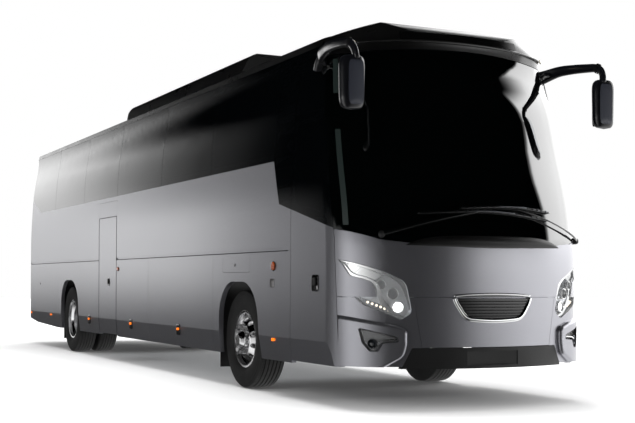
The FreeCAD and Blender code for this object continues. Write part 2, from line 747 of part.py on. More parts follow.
panel("front_flap", nose_low.common(facing(FLAP_OUTLINE)).cut(behind_flap))
valance = nose_low.common(facing(VALANCE_OUTLINE))
panel("front_valance", plate_seat(valance, NOSE + 22, 1, 455))
panel("headlamps", both_sides(nose_shell.common(facing(LAMP_OUTLINE))))
panel("fog_lamps", both_sides(nose_shell.common(facing(FOG_OUTLINE))))

# ---------------------------------------------------------------- tail panels

LID_OUTLINE = [(-900, 770, 40), (900, 770, 40), (900, 1780, 60), (-900, 1780, 60)]
TAIL_LAMP = [(-1085, 1010, 20), (-975, 1010, 20), (-975, 1850, 20), (-1085, 1850, 20)]
BUMPER_TOP = 760
LOUVRES = (9, 1200, 52, 26, 700)                   # count, first height, pitch, slot and half width


def behind(corners):
    return prism("Y", corners, STERN - 100, TAIL + 150)


stern = shell.common(across((STERN + GAP, TAIL + 150), (100, GUTTER - GAP)))
rear_band = [(-1400, 2530), (-1160, 2528), (-1050, WAIST), (1050, WAIST), (1160, 2528), (1400, 2530),
             (1400, GUTTER), (-1400, GUTTER)]
rear_glass = glazing.common(across((STERN + GAP, TAIL + 150), (100, GUTTER - GAP))).common(behind(rear_band))
rear_light = behind([(-860, 2360, 60), (860, 2360, 60), (860, 3120, 60), (-860, 3120, 60)])
rear_panel = stern.common(across((STERN, TAIL + 150), (BUMPER_TOP + GAP, GUTTER)))
rear_holes = [rear_glass, rear_light, both_sides(behind(grown(TAIL_LAMP, GAP)))]
rear_holes.append(behind(grown(LID_OUTLINE, GAP)))
panel("rear_panel", cut_all(rear_panel, rear_holes))
panel("rear_window", rear_glass)
rear_bumper = stern.common(across((STERN, TAIL + 150), (100, BUMPER_TOP - GAP)))
panel("rear_bumper", plate_seat(rear_bumper, TAIL - 10, -1, 640))
panel("tail_lamps", both_sides(stern.common(behind(TAIL_LAMP))))
count, first, pitch, slot, reach = LOUVRES
louvres = [behind([(-reach, first + pitch * row, 10), (reach, first + pitch * row, 10),
                   (reach, first + pitch * row + slot, 10), (-reach, first + pitch * row + slot, 10)])
           for row in range(count)]
panel("engine_lid", cut_all(stern.common(behind(LID_OUTLINE)), louvres))

# ---------------------------------------------------------------- floors, bays and wheel houses

HEM = 1190                # half width that stays clear of the tucked-in flaps
FLOOR_EDGE = "(%s - 8)" % INSIDE
AISLE_SIDE = -240         # the entry stairs end here
STEP = 30                 # thickness of treads and stair walls

# sheets of the deck round the stairs: from and to across, from and to along
DECK_SHEETS = (
    ("-" + FLOOR_EDGE, AISLE_SIDE, -4990, -4401),
    ("-" + FLOOR_EDGE, FLOOR_EDGE, -4400, "stair_front - 26"),
    (-445, FLOOR_EDGE, "stair_front - 25", "stair_rear + 25"),
    ("-" + FLOOR_EDGE, FLOOR_EDGE, "stair_rear + 26", 6080),
)
deck_z = ("deck_height - deck_sheet", "deck_height")
deck = [box("deck_sheet_%d" % number, (right, left), (start, finish), deck_z)
        for number, (right, left, start, finish) in enumerate(DECK_SHEETS, 1)]
subpart("deck", grouped("deck", deck))

bay_floor = box("bay_floor", (-HEM, HEM), ("bay_front + 20", "bay_rear - 20"),
                ("bay_floor_height - deck_sheet", "bay_floor_height"))
bulkheads = [box("bulkhead_" + name, (-HEM, HEM), (y, y + " + 30"),
                 ("bay_floor_height - deck_sheet", "deck_height - deck_sheet"))
             for name, y in (("front", "bay_front + 20"), ("rear", "bay_rear - 50"))]
stair_space = box("stair_space", ("-body_width / 2", -440), ("stair_front - 30", "stair_rear + 30"),
                  (100, "deck_height"))
subpart("luggage_bay", cut("luggage_bay", fused("bay_sheets", [bay_floor] + bulkheads), stair_space))

cab = block((-240, INNER), (-6250, -4400), (CAB_FLOOR - 40, CAB_FLOOR)).common(cabin_space)
cab = cab.fuse(block((-240, INNER - 8), (-4440, -4400), (CAB_FLOOR - 40, DECK - 40)))
panel("cab_floor", cab.fuse(block((-240, 240), (-4720, -4430), (CAB_FLOOR - 10, CAB_FLOOR + 225))))


def stairs(near, far, y, levels, run):
    """Treads and risers climbing inwards from a doorway."""
    parts = []
    for index, level in enumerate(levels):
        x = near + run * index
        parts.append(block((x, far), y, (level - STEP, level)))
        if index < len(levels) - 1 or len(levels) > 3:
            rise = levels[1] - levels[0]
            top = min(level + rise, DECK - 40)
            parts.append(block((x + run - 25, x + run), y, (level - STEP, top)))
    return parts[0].multiFuse(parts[1:])


middle = stairs(-HEM, -470, (STAIR[0] + 5, STAIR[1] - 5), (400, 630, 860, 1090), 190)
for y in (STAIR[0] - 25, STAIR[1] - 5):
    middle = middle.fuse(block((-HEM, -445), (y, y + STEP), (370, DECK - 40)))
middle = middle.fuse(block((-470, -445), (STAIR[0] - 25, STAIR[1] + 25), (370, DECK - 40)))
entry = stairs(-HEM, -244, (-5800, -4990), (400, 640, 880), 250).common(cabin_space)
entry = entry.fuse(block((-HEM, -244), (-4990, -4990 + STEP), (370, DECK - 40)))
panel("steps", Part.makeCompound([entry.removeSplitter(), middle.removeSplitter()]))


def wheel_house(inner, y, roof_level):
    """Open box over a wheel: a lid, two ends, and an inner wall open below for the axle."""
    shape = [(y[0], 420), (y[0] + 20, roof_level, 260), (y[1] - 20, roof_level, 260), (y[1], 420)]
    inside = [(y[0] + 20, 400), (y[0] + 40, roof_level - 20, 240), (y[1] - 40, roof_level - 20, 240),
              (y[1] - 20, 400)]
    solid = prism("X", shape, -HEM, -inner).cut(prism("X", inside, -HEM - 10, -inner - 20))
    return solid.cut(block((-inner - 25, -inner + 5), (y[0] + 60, y[1] - 60), (400, 760)))


front_house = wheel_house(575, (FRONT_AXLE - 690, FRONT_AXLE + 660), 1180)
rear_house = wheel_house(560, (REAR_AXLE - 730, REAR_AXLE + 640), 1200)
houses = [front_house, mirrored(front_house), rear_house, mirrored(rear_house)]
panel("wheel_houses", Part.makeCompound(houses))

# ---------------------------------------------------------------- roof unit and mirrors

POD = (-3640, 1745)
POD_TOP = size("pod_height")
pod_section = [(-930, 3330, 20), (-850, 3600, 110), (-560, POD_TOP, 160), (560, POD_TOP, 160), (850, 3600, 110),
               (930, 3330, 20)]
pod_side = [(POD[0] - 10, 3300), (POD[0] + 10, 3400, 60), (POD[0] + 850, 3672, 600),
            (POD[0] + 2340, POD_TOP + 11, 3000), (POD[1] - 365, POD_TOP + 11, 350), (POD[1] - 5, 3420, 60),
            (POD[1] + 10, 3300)]
pod_plan = [(-540, POD[0], 160), (540, POD[0], 160), (935, POD[0] + 900, 500), (935, POD[1] - 180, 220),
            (700, POD[1], 160), (-700, POD[1], 160), (-935, POD[1] - 180, 220), (-935, POD[0] + 900, 500)]
pod = prism("Y", pod_section, *POD).common(prism("X", pod_side, -1000, 1000))
pod = pod.common(prism("Z", pod_plan, 3200, 3800))
panel("roof_pod", pod.cut(outer).removeSplitter())

MIRROR_HEAD = (1320, -6285, 2775)
HEAD_HALF = (112, 235)
# centre of the arm, half of its depth and half of its thickness
ARM = (
    ((1160, -5445, 3120), 70, 30),
    ((1240, -5455, 3128), 64, 28),
    ((1262, -5694, 3163), 48, 24),
    ((1300, -6063, 3140), 41, 22),
    ((1303, -6225, 3124), 39, 22),
    ((1296, -6300, 3070), 36, 24),
    ((1282, -6318, 2960), 34, 26),
)


def oval(centre, run, depth, thick):
    """Oval section across a run, its long axis as upright as it can be."""
    ring = Part.Ellipse(Vector(), depth, thick).toShape()
    ahead = run.normalize()
    upright = (Vector(0, 0, 1) - ahead * ahead.z)
    upright = upright.normalize() if upright.Length > 0.35 else Vector(0, 1, 0)
    ring.Placement = Placement(centre, Rotation(upright, Vector(), ahead, "ZXY"))
    return Part.Wire(ring)


spots = [Vector(*spot) for spot, depth, thick in ARM]
rings = []
for index, (spot, depth, thick) in enumerate(ARM):
    run = spots[min(index + 1, len(ARM) - 1)] - spots[max(index - 1, 0)]
    rings.append(oval(Vector(*spot), run, depth, thick))
arm = Part.makeLoft(rings, True, False)
half_x, half_z = HEAD_HALF
head = block((MIRROR_HEAD[0] - half_x, MIRROR_HEAD[0] + half_x), (MIRROR_HEAD[1] - 62, MIRROR_HEAD[1] + 48),
             (MIRROR_HEAD[2] - half_z, MIRROR_HEAD[2] + half_z - 10))
head = head.makeFillet(45, head.Edges)
panel("mirrors", both_sides(arm.fuse(head).cut(outer).removeSplitter()))

# ---------------------------------------------------------------- wipers


def screen_y(x, z):
    """Front surface of the nose at a place seen from the front."""
    return nose_line(z) + NOSE_RADIUS - math.sqrt(NOSE_RADIUS ** 2 - x ** 2)


# pivot, elbow and the two ends of the blade, each (x, z)
WIPERS = (
    ((-520, 1378), (-60, 1475), (-640, 1462), (250, 1515)),
    ((640, 1385), (300, 1478), (180, 1530), (830, 1468)),
)
WIPER_GAP = 36            # from the glass to the arm's centre
wipers = []
for pivot, elbow, inner_end, outer_end in WIPERS:
    foot = Vector(pivot[0], screen_y(*pivot) - WIPER_GAP, pivot[1])
    knee = Vector(elbow[0], screen_y(*elbow) - WIPER_GAP, elbow[1])
    parts = [Part.makeCylinder(9, (knee - foot).Length, foot, knee - foot), Part.makeSphere(9, knee),
             Part.makeCylinder(17, 22, foot, Vector(0, 1, 0))]
    blade = [Vector(x, screen_y(x, z) - WIPER_GAP, z) for x, z in (inner_end, elbow, outer_end)]
    for start, finish in zip(blade, blade[1:]):
        parts.append(Part.makeCylinder(7, (finish - start).Length, start, finish - start))
    wipers.append(parts[0].multiFuse(parts[1:]))
panel("wipers", Part.makeCompound(wipers))

# ---------------------------------------------------------------- cab and saloon

dash_outline = [(-6240, CAB_FLOOR), (-6290, 1330, 60), (-6180, 1440, 60), (-5900, 1470, 90), (-5800, 1330, 80),
                (-5960, CAB_FLOOR)]
dash = prism("X", dash_outline, AISLE_SIDE + 4, INNER).common(body_form(WALL + 12))
dashboard = panel("dashboard", dash)

WHEEL_AT = (560, -5730, 1500)
WHEEL_TILT = 32
hoop = doc.addObject("Part::Torus", "steering_hoop")
bind(hoop, {"Radius1": 225, "Radius2": 17})
spokes = [box("steering_spokes", (-215, 215), (-16, 16), (-20, -4)),
          box("steering_spoke_low", (-16, 16), (-215, 0), (-20, -4))]
wheel = fused("steering_hoop_and_spokes", [hoop, cylinder("steering_boss", "Z", 60, (0, 0, -28), 30)] + spokes)
wheel.Placement = Placement(Vector(*WHEEL_AT), Rotation(Vector(1, 0, 0), WHEEL_TILT))
column = cylinder("steering_column", "Z", 32, (560, -5830, 1352), 155)
column.Placement = Placement(Vector(560, -5830, 1352), Rotation(Vector(0, 0, 1), Vector(0, 85, 130)))
subpart("steering_wheel", cut("steering_wheel", fused("steering_parts", [wheel, column]), dashboard))


def seat(name, width, base, back):
    """Seat in profile, cushion, backrest and foot, as wide as the pad's length."""
    slope = 0.2           # the backrest leans back by this share of its height
    lean = "%s * (%s - 370)" % (slope, back)
    body = new_body(name)
    add_padded(body, name + "_pad", "YZ_Plane", [
        (-250, base + " + 220", 40), (-255, base + " + 400", 45), (190, base + " + 370", 60),
        ("190 + " + lean, "%s + %s" % (base, back), 50), ("300 + " + lean, "%s + %s" % (base, back), 50),
        (310, base + " + 250", 60), (80, base + " + 220", 10), (60, base), (-90, base),
        (-110, base + " + 220", 10)], width)
    return body


driver = seat("driver_seat", 520, "cab_floor_height", "1150")
place_at(driver, 560, -5180, 0)
subpart("driver_seat", driver)
SEAT_OFFSET = 750         # centre of a pair of seats from the centre line
ROWS = 13
FIRST_ROW = -3950
pair = seat("seat_pair", "seat_pair_width - 20", "deck_height", "seat_back_height")
doc.recompute()
pairs = []
for row in range(ROWS):
    y = FIRST_ROW + size("seat_pitch") * row
    for x in (-SEAT_OFFSET, SEAT_OFFSET):
        if x < 0 and STAIR[0] - 420 < y < STAIR[1] + 300:
            continue
        copy = pair.Shape.copy()
        copy.translate(Vector(x, y, 0))
        pairs.append(copy)
panel("passenger_seats", Part.makeCompound(pairs))

rack_outline = [(-1140, 3120), (-1112, 3130), (-1085, 2965, 60), (-720, 2925, 10), (-705, 2985, 5),
                (-690, 2985, 5), (-695, 2890, 20), (-1120, 2930, 60)]
rack = prism("Y", rack_outline, -4300, 6000).common(body_form(WALL + 1))
panel("parcel_racks", both_sides(rack))

# ---------------------------------------------------------------- underframe, axles and engine

# centre of the rail, from, to, underside
RAILS = (
    (-420, -4900, BAY[0] + 20, 660),
    (420, -4900, BAY[0] + 20, 660),
    (-180, -6100, -4820, 660),
    (420, -6100, -4820, 660),
    (-420, BAY[1] - 20, 6100, 690),
    (420, BAY[1] - 20, 6100, 690),
)
# cross-members: nearest face, underside, half length
CROSS = (
    (-6100, 660, 1060),
    (-4900, 660, HEM),
    (BAY[0] - 120, 660, 540),
    (BAY[1] + 30, 690, 540),
    (4260, 690, HEM),
    (6020, 690, 1150),
)
RAIL_SECTION = (80, 150)
frame = []
for number, (x, start, finish, low) in enumerate(RAILS, 1):
    frame.append(box("rail_%d" % number, (x - RAIL_SECTION[0] / 2, x + RAIL_SECTION[0] / 2), (start, finish),
                     (low, low + RAIL_SECTION[1])))
for number, (y, low, reach) in enumerate(CROSS, 1):
    frame.append(box("cross_member_%d" % number, (-reach, reach), (y, y + RAIL_SECTION[0]),
                     (low, low + RAIL_SECTION[1])))
socket = cylinder("towing_socket_body", "Y", 44, (300, -6330, 735), 240)
socket_bore = cylinder("towing_socket_bore", "Y", 21, (300, -6340, 735), 120)
subpart("underframe", cut("underframe", fused("frame_members", frame + [socket]), socket_bore))

SIDES = (("right", "-1"), ("left", "1"))
KINGPIN = "kingpin_track / 2"
SPRING_FRONT = (400, 180)                          # beside the centre line, behind the axle
SPRING_REAR = (410, 330)
beam = new_body("axle_beam")
add_padded(beam, "beam", "YZ_Plane", [
    (-55, "tyre_radius - 150", 20), (55, "tyre_radius - 150", 20), (55, "tyre_radius - 120", 12),
    (28, "tyre_radius - 110", 10), (28, "tyre_radius - 70", 10), (55, "tyre_radius - 60", 12),
    (55, "tyre_radius - 30", 20), (-55, "tyre_radius - 30", 20), (-55, "tyre_radius - 60", 12),
    (-28, "tyre_radius - 70", 10), (-28, "tyre_radius - 110", 10), (-55, "tyre_radius - 120", 12)],
    "kingpin_track - 220")
place_at(beam, 0, FRONT, 0)
axle_parts, bores = [beam], []
for side_name, sign in SIDES:
    x = "%s * %s" % (sign, KINGPIN)
    low, high = (x, x + " + 150") if sign == "-1" else (x + " - 150", x)
    spring = "%s * %d" % (sign, SPRING_FRONT[0])
    pad_y = "%s + %d" % (FRONT, SPRING_FRONT[1])
    axle_parts += [
        cylinder("kingpin_boss_" + side_name, "Z", 55, (x, FRONT, "tyre_radius - 65"), 130),
        box("beam_end_" + side_name, (low, high), (FRONT + " - 45", FRONT + " + 45"),
            ("tyre_radius - 65", "tyre_radius - 5")),
        cylinder("spring_seat_" + side_name, "Z", 110, (spring, pad_y, "tyre_radius - 60"), 30),
        box("spring_arm_" + side_name, (spring + " - 60", spring + " + 60"), (FRONT, FRONT + " + 240"),
            ("tyre_radius - 110", "tyre_radius - 60")),
        cylinder("jacking_pad_" + side_name, "Z", 45, (spring, FRONT + " + 165", "tyre_radius - 122"), 20),
    ]
    bores.append(cylinder("kingpin_bore_" + side_name, "Z", "kingpin_radius + fit",
                          (x, FRONT, "tyre_radius - 200"), 400))
subpart("front_axle", cut("front_axle", fused("axle_solid", axle_parts), fused("kingpin_bores", bores)))


def bellows(base, top, radius):
    """Air spring: a piston under a rolled rubber bellows."""
    outline = [(base, 0), (base, radius - 30, 8), (base + 0.35 * (top - base), radius - 36, 20),
               (base + 0.4 * (top - base), radius, 22), (top - 12, radius, 22), (top, radius - 14), (top, 0)]
    face = Part.Face(rounded_wire(outline))
    solid = face.revolve(Vector(), Vector(1, 0, 0), 360)
    solid.rotate(Vector(), Vector(0, 1, 0), -90)
    return solid


springs = []
front_spring = bellows(HUB - 30, 660, 105)
rear_spring = bellows(HUB - 40, 690, 120)
for sign in (-1, 1):
    for spring, x, y in ((front_spring, SPRING_FRONT[0], FRONT_AXLE + SPRING_FRONT[1]),
                         (rear_spring, SPRING_REAR[0], REAR_AXLE - SPRING_REAR[1]),
                         (rear_spring, SPRING_REAR[0], REAR_AXLE + SPRING_REAR[1])):
        copy = spring.copy()
        copy.translate(Vector(sign * x, y, 0))
        springs.append(copy)
panel("air_springs", Part.makeCompound(springs))

tube = new_body("axle_tube")
half_tube = [(1036, 0), (1036, "spindle_radius"), (560, "spindle_radius"), (560, 92, 12), (300, 92, 60),
             (150, 205, 60)]
other_half = [("-%s" % corner[0],) + corner[1:] for corner in reversed(half_tube)]
add_turned(tube, "axle_tube_turn", half_tube + other_half)
place_at(tube, 0, REAR, "tyre_radius")
rear_parts = [tube]
for side_name, sign in SIDES:
    x = "%s * %d" % (sign, SPRING_REAR[0])
    rear_parts.append(box("spring_beam_" + side_name, (x + " - 55", x + " + 55"),
                          (REAR + " - 400", REAR + " + 400"), ("tyre_radius - 130", "tyre_radius - 60")))
    for end in (-1, 1):
        y = "%s + %d" % (REAR, end * SPRING_REAR[1])
        seat_name = "rear_spring_seat_%s_%s" % (side_name, "front" if end < 0 else "rear")
        rear_parts.append(cylinder(seat_name, "Z", 115, (x, y, "tyre_radius - 65"), 25))
subpart("rear_axle", fused("rear_axle", rear_parts))

engine = box("engine_block", ("-engine_width / 2", "engine_width / 2"),
             ("engine_front", "engine_front + engine_length"), ("engine_base", "engine_base + engine_height"))
subpart("engine", engine)

mudflaps = []
for side_name, low, high in (("right", -HEM, "flap_width - %d" % HEM), ("left", "%d - flap_width" % HEM, HEM)):
    for axle_name, y in (("front", FRONT + " + 668"), ("rear", REAR + " + 650")):
        mudflaps.append(box("mudflap_%s_%s" % (axle_name, side_name), (low, high), (y, y + " + 8"),
                            ("flap_bottom", 640)))
subpart("mudflaps", grouped("mudflaps", mudflaps))

# ---------------------------------------------------------------- steering knuckles and tie rod

PIVOT = "(-kingpin_track / 2)"
ARM_Z = ("tyre_radius - tie_rod_drop + 24", "tyre_radius - tie_rod_drop + 60")
yoke_x = (PIVOT + " - 90", PIVOT + " + 45")
yoke_y = (FRONT + " - 50", FRONT + " + 50")
knuckle = fused("knuckle_solid", [
    cylinder("kingpin", "Z", "kingpin_radius", (PIVOT, FRONT, "tyre_radius - 165"), 330),
    box("yoke_upper", yoke_x, yoke_y, ("tyre_radius + 75", "tyre_radius + 165")),
    box("yoke_lower", yoke_x, yoke_y, ("tyre_radius - 165", "tyre_radius - 75")),
    box("yoke_cheek", (PIVOT + " - 92", PIVOT + " - 62"), (FRONT + " - 70", FRONT + " + 70"),
        ("tyre_radius - 165", "tyre_radius + 165")),
    cylinder("stub_axle", "X", "spindle_radius", (-1170, FRONT, "tyre_radius"),
             "1170 - kingpin_track / 2 - 90"),
    box("steering_arm", (PIVOT + " - 20", PIVOT + " + 40"), (FRONT, FRONT + " + arm_length + 30"), ARM_Z),
])
tie_bore = cylinder("tie_pin_bore", "Z", "tie_pin_radius + fit",
                    (PIVOT, FRONT + " + arm_length", "tyre_radius - tie_rod_drop"), 80)
knuckle_right = subpart("knuckle_right", cut("knuckle_right", knuckle, tie_bore))
subpart("knuckle_left", left_hand("knuckle_left", knuckle_right))
tie_y = FRONT + " + arm_length"
tie_z = "tyre_radius - tie_rod_drop"
tie_parts = [cylinder("tie_rod_tube", "X", "tie_rod_radius", (PIVOT, tie_y, tie_z), "kingpin_track")]
for side_name, sign in SIDES:
    x = "%s * %s" % (sign, KINGPIN)
    tie_parts.append(cylinder("tie_rod_eye_" + side_name, "Z", 30, (x, tie_y, tie_z + " - 20"), 40))
    tie_parts.append(cylinder("tie_rod_pin_" + side_name, "Z", "tie_pin_radius",
                              (x, tie_y, tie_z + " - 14"), 74))
subpart("tie_rod", fused("tie_rod", tie_parts))

# ---------------------------------------------------------------- wheels, turned about X with +X outwards

DISC_FACE = 142           # bolting face of the disc, out from the rim's middle
TWIN_GAP = "(twin_outer - twin_inner)"


def shifted(corners, offset, flip=1):
    """Turned outline moved along the axle, and turned round where flip is -1."""
    moved = [("%s + %s * (%s)" % (offset, flip, corner[0]),) + tuple(corner[1:]) for corner in corners]
    return moved if flip == 1 else list(reversed(moved))


BARREL = [
    ("-rim_half", "rim_radius + 14", 4), ("12 - rim_half", "rim_radius + 14", 4), ("13 - rim_half", "rim_radius"),
    ("48 - rim_half", "rim_radius"), (-52, "rim_radius - 34", 14), (36, "rim_radius - 34", 14),
    ("rim_half - 48", "rim_radius"), ("rim_half - 13", "rim_radius"), ("rim_half - 12", "rim_radius + 14", 4),
    ("rim_half", "rim_radius + 14", 4), ("rim_half - 2", "rim_radius - 8"), ("rim_half - 44", "rim_radius - 10"),
    (44, "rim_radius - 44", 12), (-60, "rim_radius - 44", 12), ("40 - rim_half", "rim_radius - 10"),
    ("2 - rim_half", "rim_radius - 8")]
DISC = [
    (DISC_FACE - 12, 100), (DISC_FACE, 100), (DISC_FACE, 174, 24), (DISC_FACE - 46, 214, 40),
    (52, "rim_radius - 42", 20), (38, "rim_radius - 42"), (44, 226, 20), (DISC_FACE - 60, 202, 40),
    (DISC_FACE - 12, 164, 20)]
FRONT_HUB = [
    (-40, "spindle_radius + fit"), (118, "spindle_radius + fit"), (118, 0), (DISC_FACE + 60, 0),
    (DISC_FACE + 60, 58, 16), (DISC_FACE + 14, 88, 8), (DISC_FACE + 14, 104), (DISC_FACE - 12, 104),
    (DISC_FACE - 12, 80, 10), (-40, 80)]
REAR_HUB = [
    (-300, "spindle_radius + fit"), (-44, "spindle_radius + fit"), (-44, 0), (46, 0), (46, 62, 16), (4, 84, 8), (-30, 84),
    (-60, 104, 10), (-150, 104), (-190, 104), (-190, 150, 6), (-206, 150, 6), (-206, 90), (-300, 90)]
TYRE = [
    ("15 - rim_half", "rim_radius + 0.5"), ("15 - rim_half", "rim_radius + 18", 5),
    ("-rim_half - 4", "rim_radius + 36", 18), ("-tyre_width / 2", "(rim_radius + tyre_radius) / 2 + 10", 110),
    ("14 - tyre_width / 2", "tyre_radius - 12", 26), (0, "tyre_radius", 600),
    ("tyre_width / 2 - 14", "tyre_radius - 12", 26), ("tyre_width / 2", "(rim_radius + tyre_radius) / 2 + 10", 110),
    ("rim_half + 4", "rim_radius + 36", 18), ("rim_half - 15", "rim_radius + 18", 5),
    ("rim_half - 15", "rim_radius + 0.5"), ("rim_half - 46", "rim_radius + 0.5"),
    ("tyre_width / 2 - 26", "(rim_radius + tyre_radius) / 2", 90), ("tyre_width / 2 - 44", "tyre_radius - 40", 30),
    ("44 - tyre_width / 2", "tyre_radius - 40", 30), ("26 - tyre_width / 2", "(rim_radius + tyre_radius) / 2", 90),
    ("46 - rim_half", "rim_radius + 0.5")]


def round_sketch(body, name, radius, circle):
    """Circle that stands off the X axis in the plane across it."""
    sketch = sketch_on(body, "YZ_Plane", name)
    sketch.addGeometry(Part.Circle(Vector(0, worth(circle), 0), Vector(0, 0, 1), worth(radius)), False)
    constrain(sketch, Sketcher.Constraint("Radius", 0, worth(radius)), radius)
    constrain(sketch, Sketcher.Constraint("DistanceX", -1, 1, 0, 3, 0), 0)
    constrain(sketch, Sketcher.Constraint("DistanceY", -1, 1, 0, 3, worth(circle)), circle)
    return sketch


def hand_holes(body, name):
    hole = body.newObject("PartDesign::Pocket", name)
    hole.Profile = round_sketch(body, name + "_circle", "hand_hole", "hand_hole_circle")
    hole.Type = "ThroughAll"
    hole.Midplane = True
    body.Tip = hole
    doc.recompute()
    return add_ring(body, hole, "stud_count")


def wheel_nuts(body, name, inner_end, outer_end):
    sketch = round_sketch(body, name + "_circle", "stud_radius", "bolt_circle")
    sketch.AttachmentOffset = Placement(Vector(0, 0, inner_end), Rotation(Vector(0, 0, 1), 18))
    nut = body.newObject("PartDesign::Pad", name)
    nut.Profile = sketch
    bind(nut, {"Length": outer_end - inner_end})
    body.Tip = nut
    doc.recompute()
    return add_ring(body, nut, "stud_count")


def tyre(name, x, y):
    body = new_body(name)
    add_turned(body, name + "_turn", TYRE)
    return place_at(body, "-(%s)" % x, y, "tyre_radius")


def outwards(body, x, y):
    """Stands a wheel on the right-hand side, its outer face towards -X."""
    body.Placement = Placement(Vector(), Rotation(Vector(0, 0, 1), 180))
    return place_at(body, "-(%s)" % x, y, "tyre_radius")


front_rim = new_body("front_rim")
add_turned(front_rim, "front_barrel", BARREL)
add_turned(front_rim, "front_disc", DISC)
hand_holes(front_rim, "front_hand_hole")
add_turned(front_rim, "front_hub", FRONT_HUB)
wheel_nuts(front_rim, "front_nut", DISC_FACE - 4, DISC_FACE + 30)
outwards(front_rim, "front_track / 2", FRONT)

rear_rims = new_body("rear_rims")
add_turned(rear_rims, "outer_barrel", BARREL)
add_turned(rear_rims, "outer_disc", shifted(DISC, 0, -1))
add_turned(rear_rims, "inner_barrel", shifted(BARREL, "-" + TWIN_GAP))
add_turned(rear_rims, "inner_disc", shifted(DISC, "-" + TWIN_GAP))
hand_holes(rear_rims, "rear_hand_hole")
add_turned(rear_rims, "rear_hub", REAR_HUB)
wheel_nuts(rear_rims, "rear_nut", -200, -125)
outwards(rear_rims, "twin_outer", REAR)

front_tyre = tyre("front_tyre", "front_track / 2", FRONT)
twins = [tyre("outer_twin", "twin_outer", REAR), tyre("inner_twin", "twin_inner", REAR)]
rear_tyres = grouped("rear_tyres", twins)
for name, wheel_part in (("front_tyre", front_tyre), ("front_rim", front_rim), ("rear_tyres", rear_tyres),
                         ("rear_rims", rear_rims)):
    subpart(name + "_right", wheel_part)
    subpart(name + "_left", left_hand(name + "_left", wheel_part))

# ---------------------------------------------------------------- checks, then one file for each sub-part

doc.recompute()
os.makedirs("parts", exist_ok=True)
for item in doc.Objects:
    if "Invalid" in item.State or "Error" in item.State:
        raise SystemExit("failed: " + item.Label)
for item in subparts:
    if item.Shape.isNull() or not item.Shape.isValid():
        raise SystemExit("bad shape: " + item.Label)
for item in subparts:
    print("%-26s %2d solids %3d faces %8.4f" % (item.Label, len(item.Shape.Solids), len(item.Shape.Faces),
                                                item.Shape.Volume / 1e9))
    item.Shape.exportStep("parts/" + item.Label + ".step")
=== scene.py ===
import bpy
import json
import math
import numpy as np
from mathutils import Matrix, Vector


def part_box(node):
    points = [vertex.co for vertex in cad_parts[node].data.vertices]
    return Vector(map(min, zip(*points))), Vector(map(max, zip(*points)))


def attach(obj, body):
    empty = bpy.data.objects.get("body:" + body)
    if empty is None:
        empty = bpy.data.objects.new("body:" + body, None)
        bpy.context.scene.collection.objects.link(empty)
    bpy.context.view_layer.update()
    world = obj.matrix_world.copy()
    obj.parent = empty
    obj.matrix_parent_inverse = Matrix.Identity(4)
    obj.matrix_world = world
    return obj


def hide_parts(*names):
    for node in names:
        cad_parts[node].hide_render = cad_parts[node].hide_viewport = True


# A high-deck touring coach.  Metres, the nose towards -Y, the doors on the -X side.

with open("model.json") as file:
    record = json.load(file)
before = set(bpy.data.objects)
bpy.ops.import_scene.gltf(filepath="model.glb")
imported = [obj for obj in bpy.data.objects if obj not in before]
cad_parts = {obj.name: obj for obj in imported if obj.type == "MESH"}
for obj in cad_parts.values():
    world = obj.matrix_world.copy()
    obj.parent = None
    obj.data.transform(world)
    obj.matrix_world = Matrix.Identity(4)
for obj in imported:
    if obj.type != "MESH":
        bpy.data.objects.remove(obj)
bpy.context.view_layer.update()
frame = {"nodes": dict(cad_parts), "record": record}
nodes = frame["nodes"]
scene = bpy.context.scene
print("stage: frame loaded")


def hexColour(text):
    # sRGB to linear: c / 12.92 below 0.04045, ((c + 0.055) / 1.055) ** 2.4 above
    raw = [int(text[i:i + 2], 16) / 255 for i in (1, 3, 5)]
    return [c / 12.92 if c <= 0.04045 else ((c + 0.055) / 1.055) ** 2.4 for c in raw] + [1.0]


def newMaterial(name, colour, metallic=0.0, roughness=0.5, coat=0.0, coatRoughness=0.03, alpha=1.0, ior=1.5,
                glow=0.0, specular=0.5):
    material = bpy.data.materials.new(name)
    material.use_nodes = True
    shader = material.node_tree.nodes["Principled BSDF"]
    shader.inputs["Base Color"].default_value = hexColour(colour)
    shader.inputs["Metallic"].default_value = metallic
    shader.inputs["Roughness"].default_value = roughness
    shader.inputs["Coat Weight"].default_value = coat
    shader.inputs["Coat Roughness"].default_value = coatRoughness
    shader.inputs["Alpha"].default_value = alpha
    shader.inputs["IOR"].default_value = ior
    shader.inputs["Specular IOR Level"].default_value = specular
    if glow:
        shader.inputs["Emission Color"].default_value = hexColour(colour)
        shader.inputs["Emission Strength"].default_value = glow
    return material


def addNode(material, kind, settings=None, values=None, links=None):
    # one node: its own settings, the values of its sockets, and links {socket: (node, output)}
    tree = material.node_tree
    node = tree.nodes.new(kind)
    for key, value in (settings or {}).items():
        setattr(node, key, value)
    for key, value in (values or {}).items():
        node.inputs[key].default_value = value
    for key, (source, output) in (links or {}).items():
        tree.links.new(source.outputs[output], node.inputs[key])
    return node


def linkShader(material, socket, node, output):
    shader = material.node_tree.nodes["Principled BSDF"]
    material.node_tree.links.new(node.outputs[output], shader.inputs[socket])


def noise(material, scale, detail=2.0):
    place = addNode(material, "ShaderNodeTexCoord")
    return addNode(material, "ShaderNodeTexNoise", values={"Scale": scale, "Detail": detail},
                   links={"Vector": (place, "Object")})


def spread(material, source, low, high, output="Fac"):
    # stretches the middle of a noise over low to high
    return addNode(material, "ShaderNodeMapRange",
                   values={"From Min": 0.3, "From Max": 0.7, "To Min": low, "To Max": high},
                   links={"Value": (source, output)})


def hazed(material, scale, low, high, detail=2.0):
    # a roughness that drifts between low and high
    drift = spread(material, noise(material, scale, detail), low, high)
    linkShader(material, "Roughness", drift, "Result")
    return material


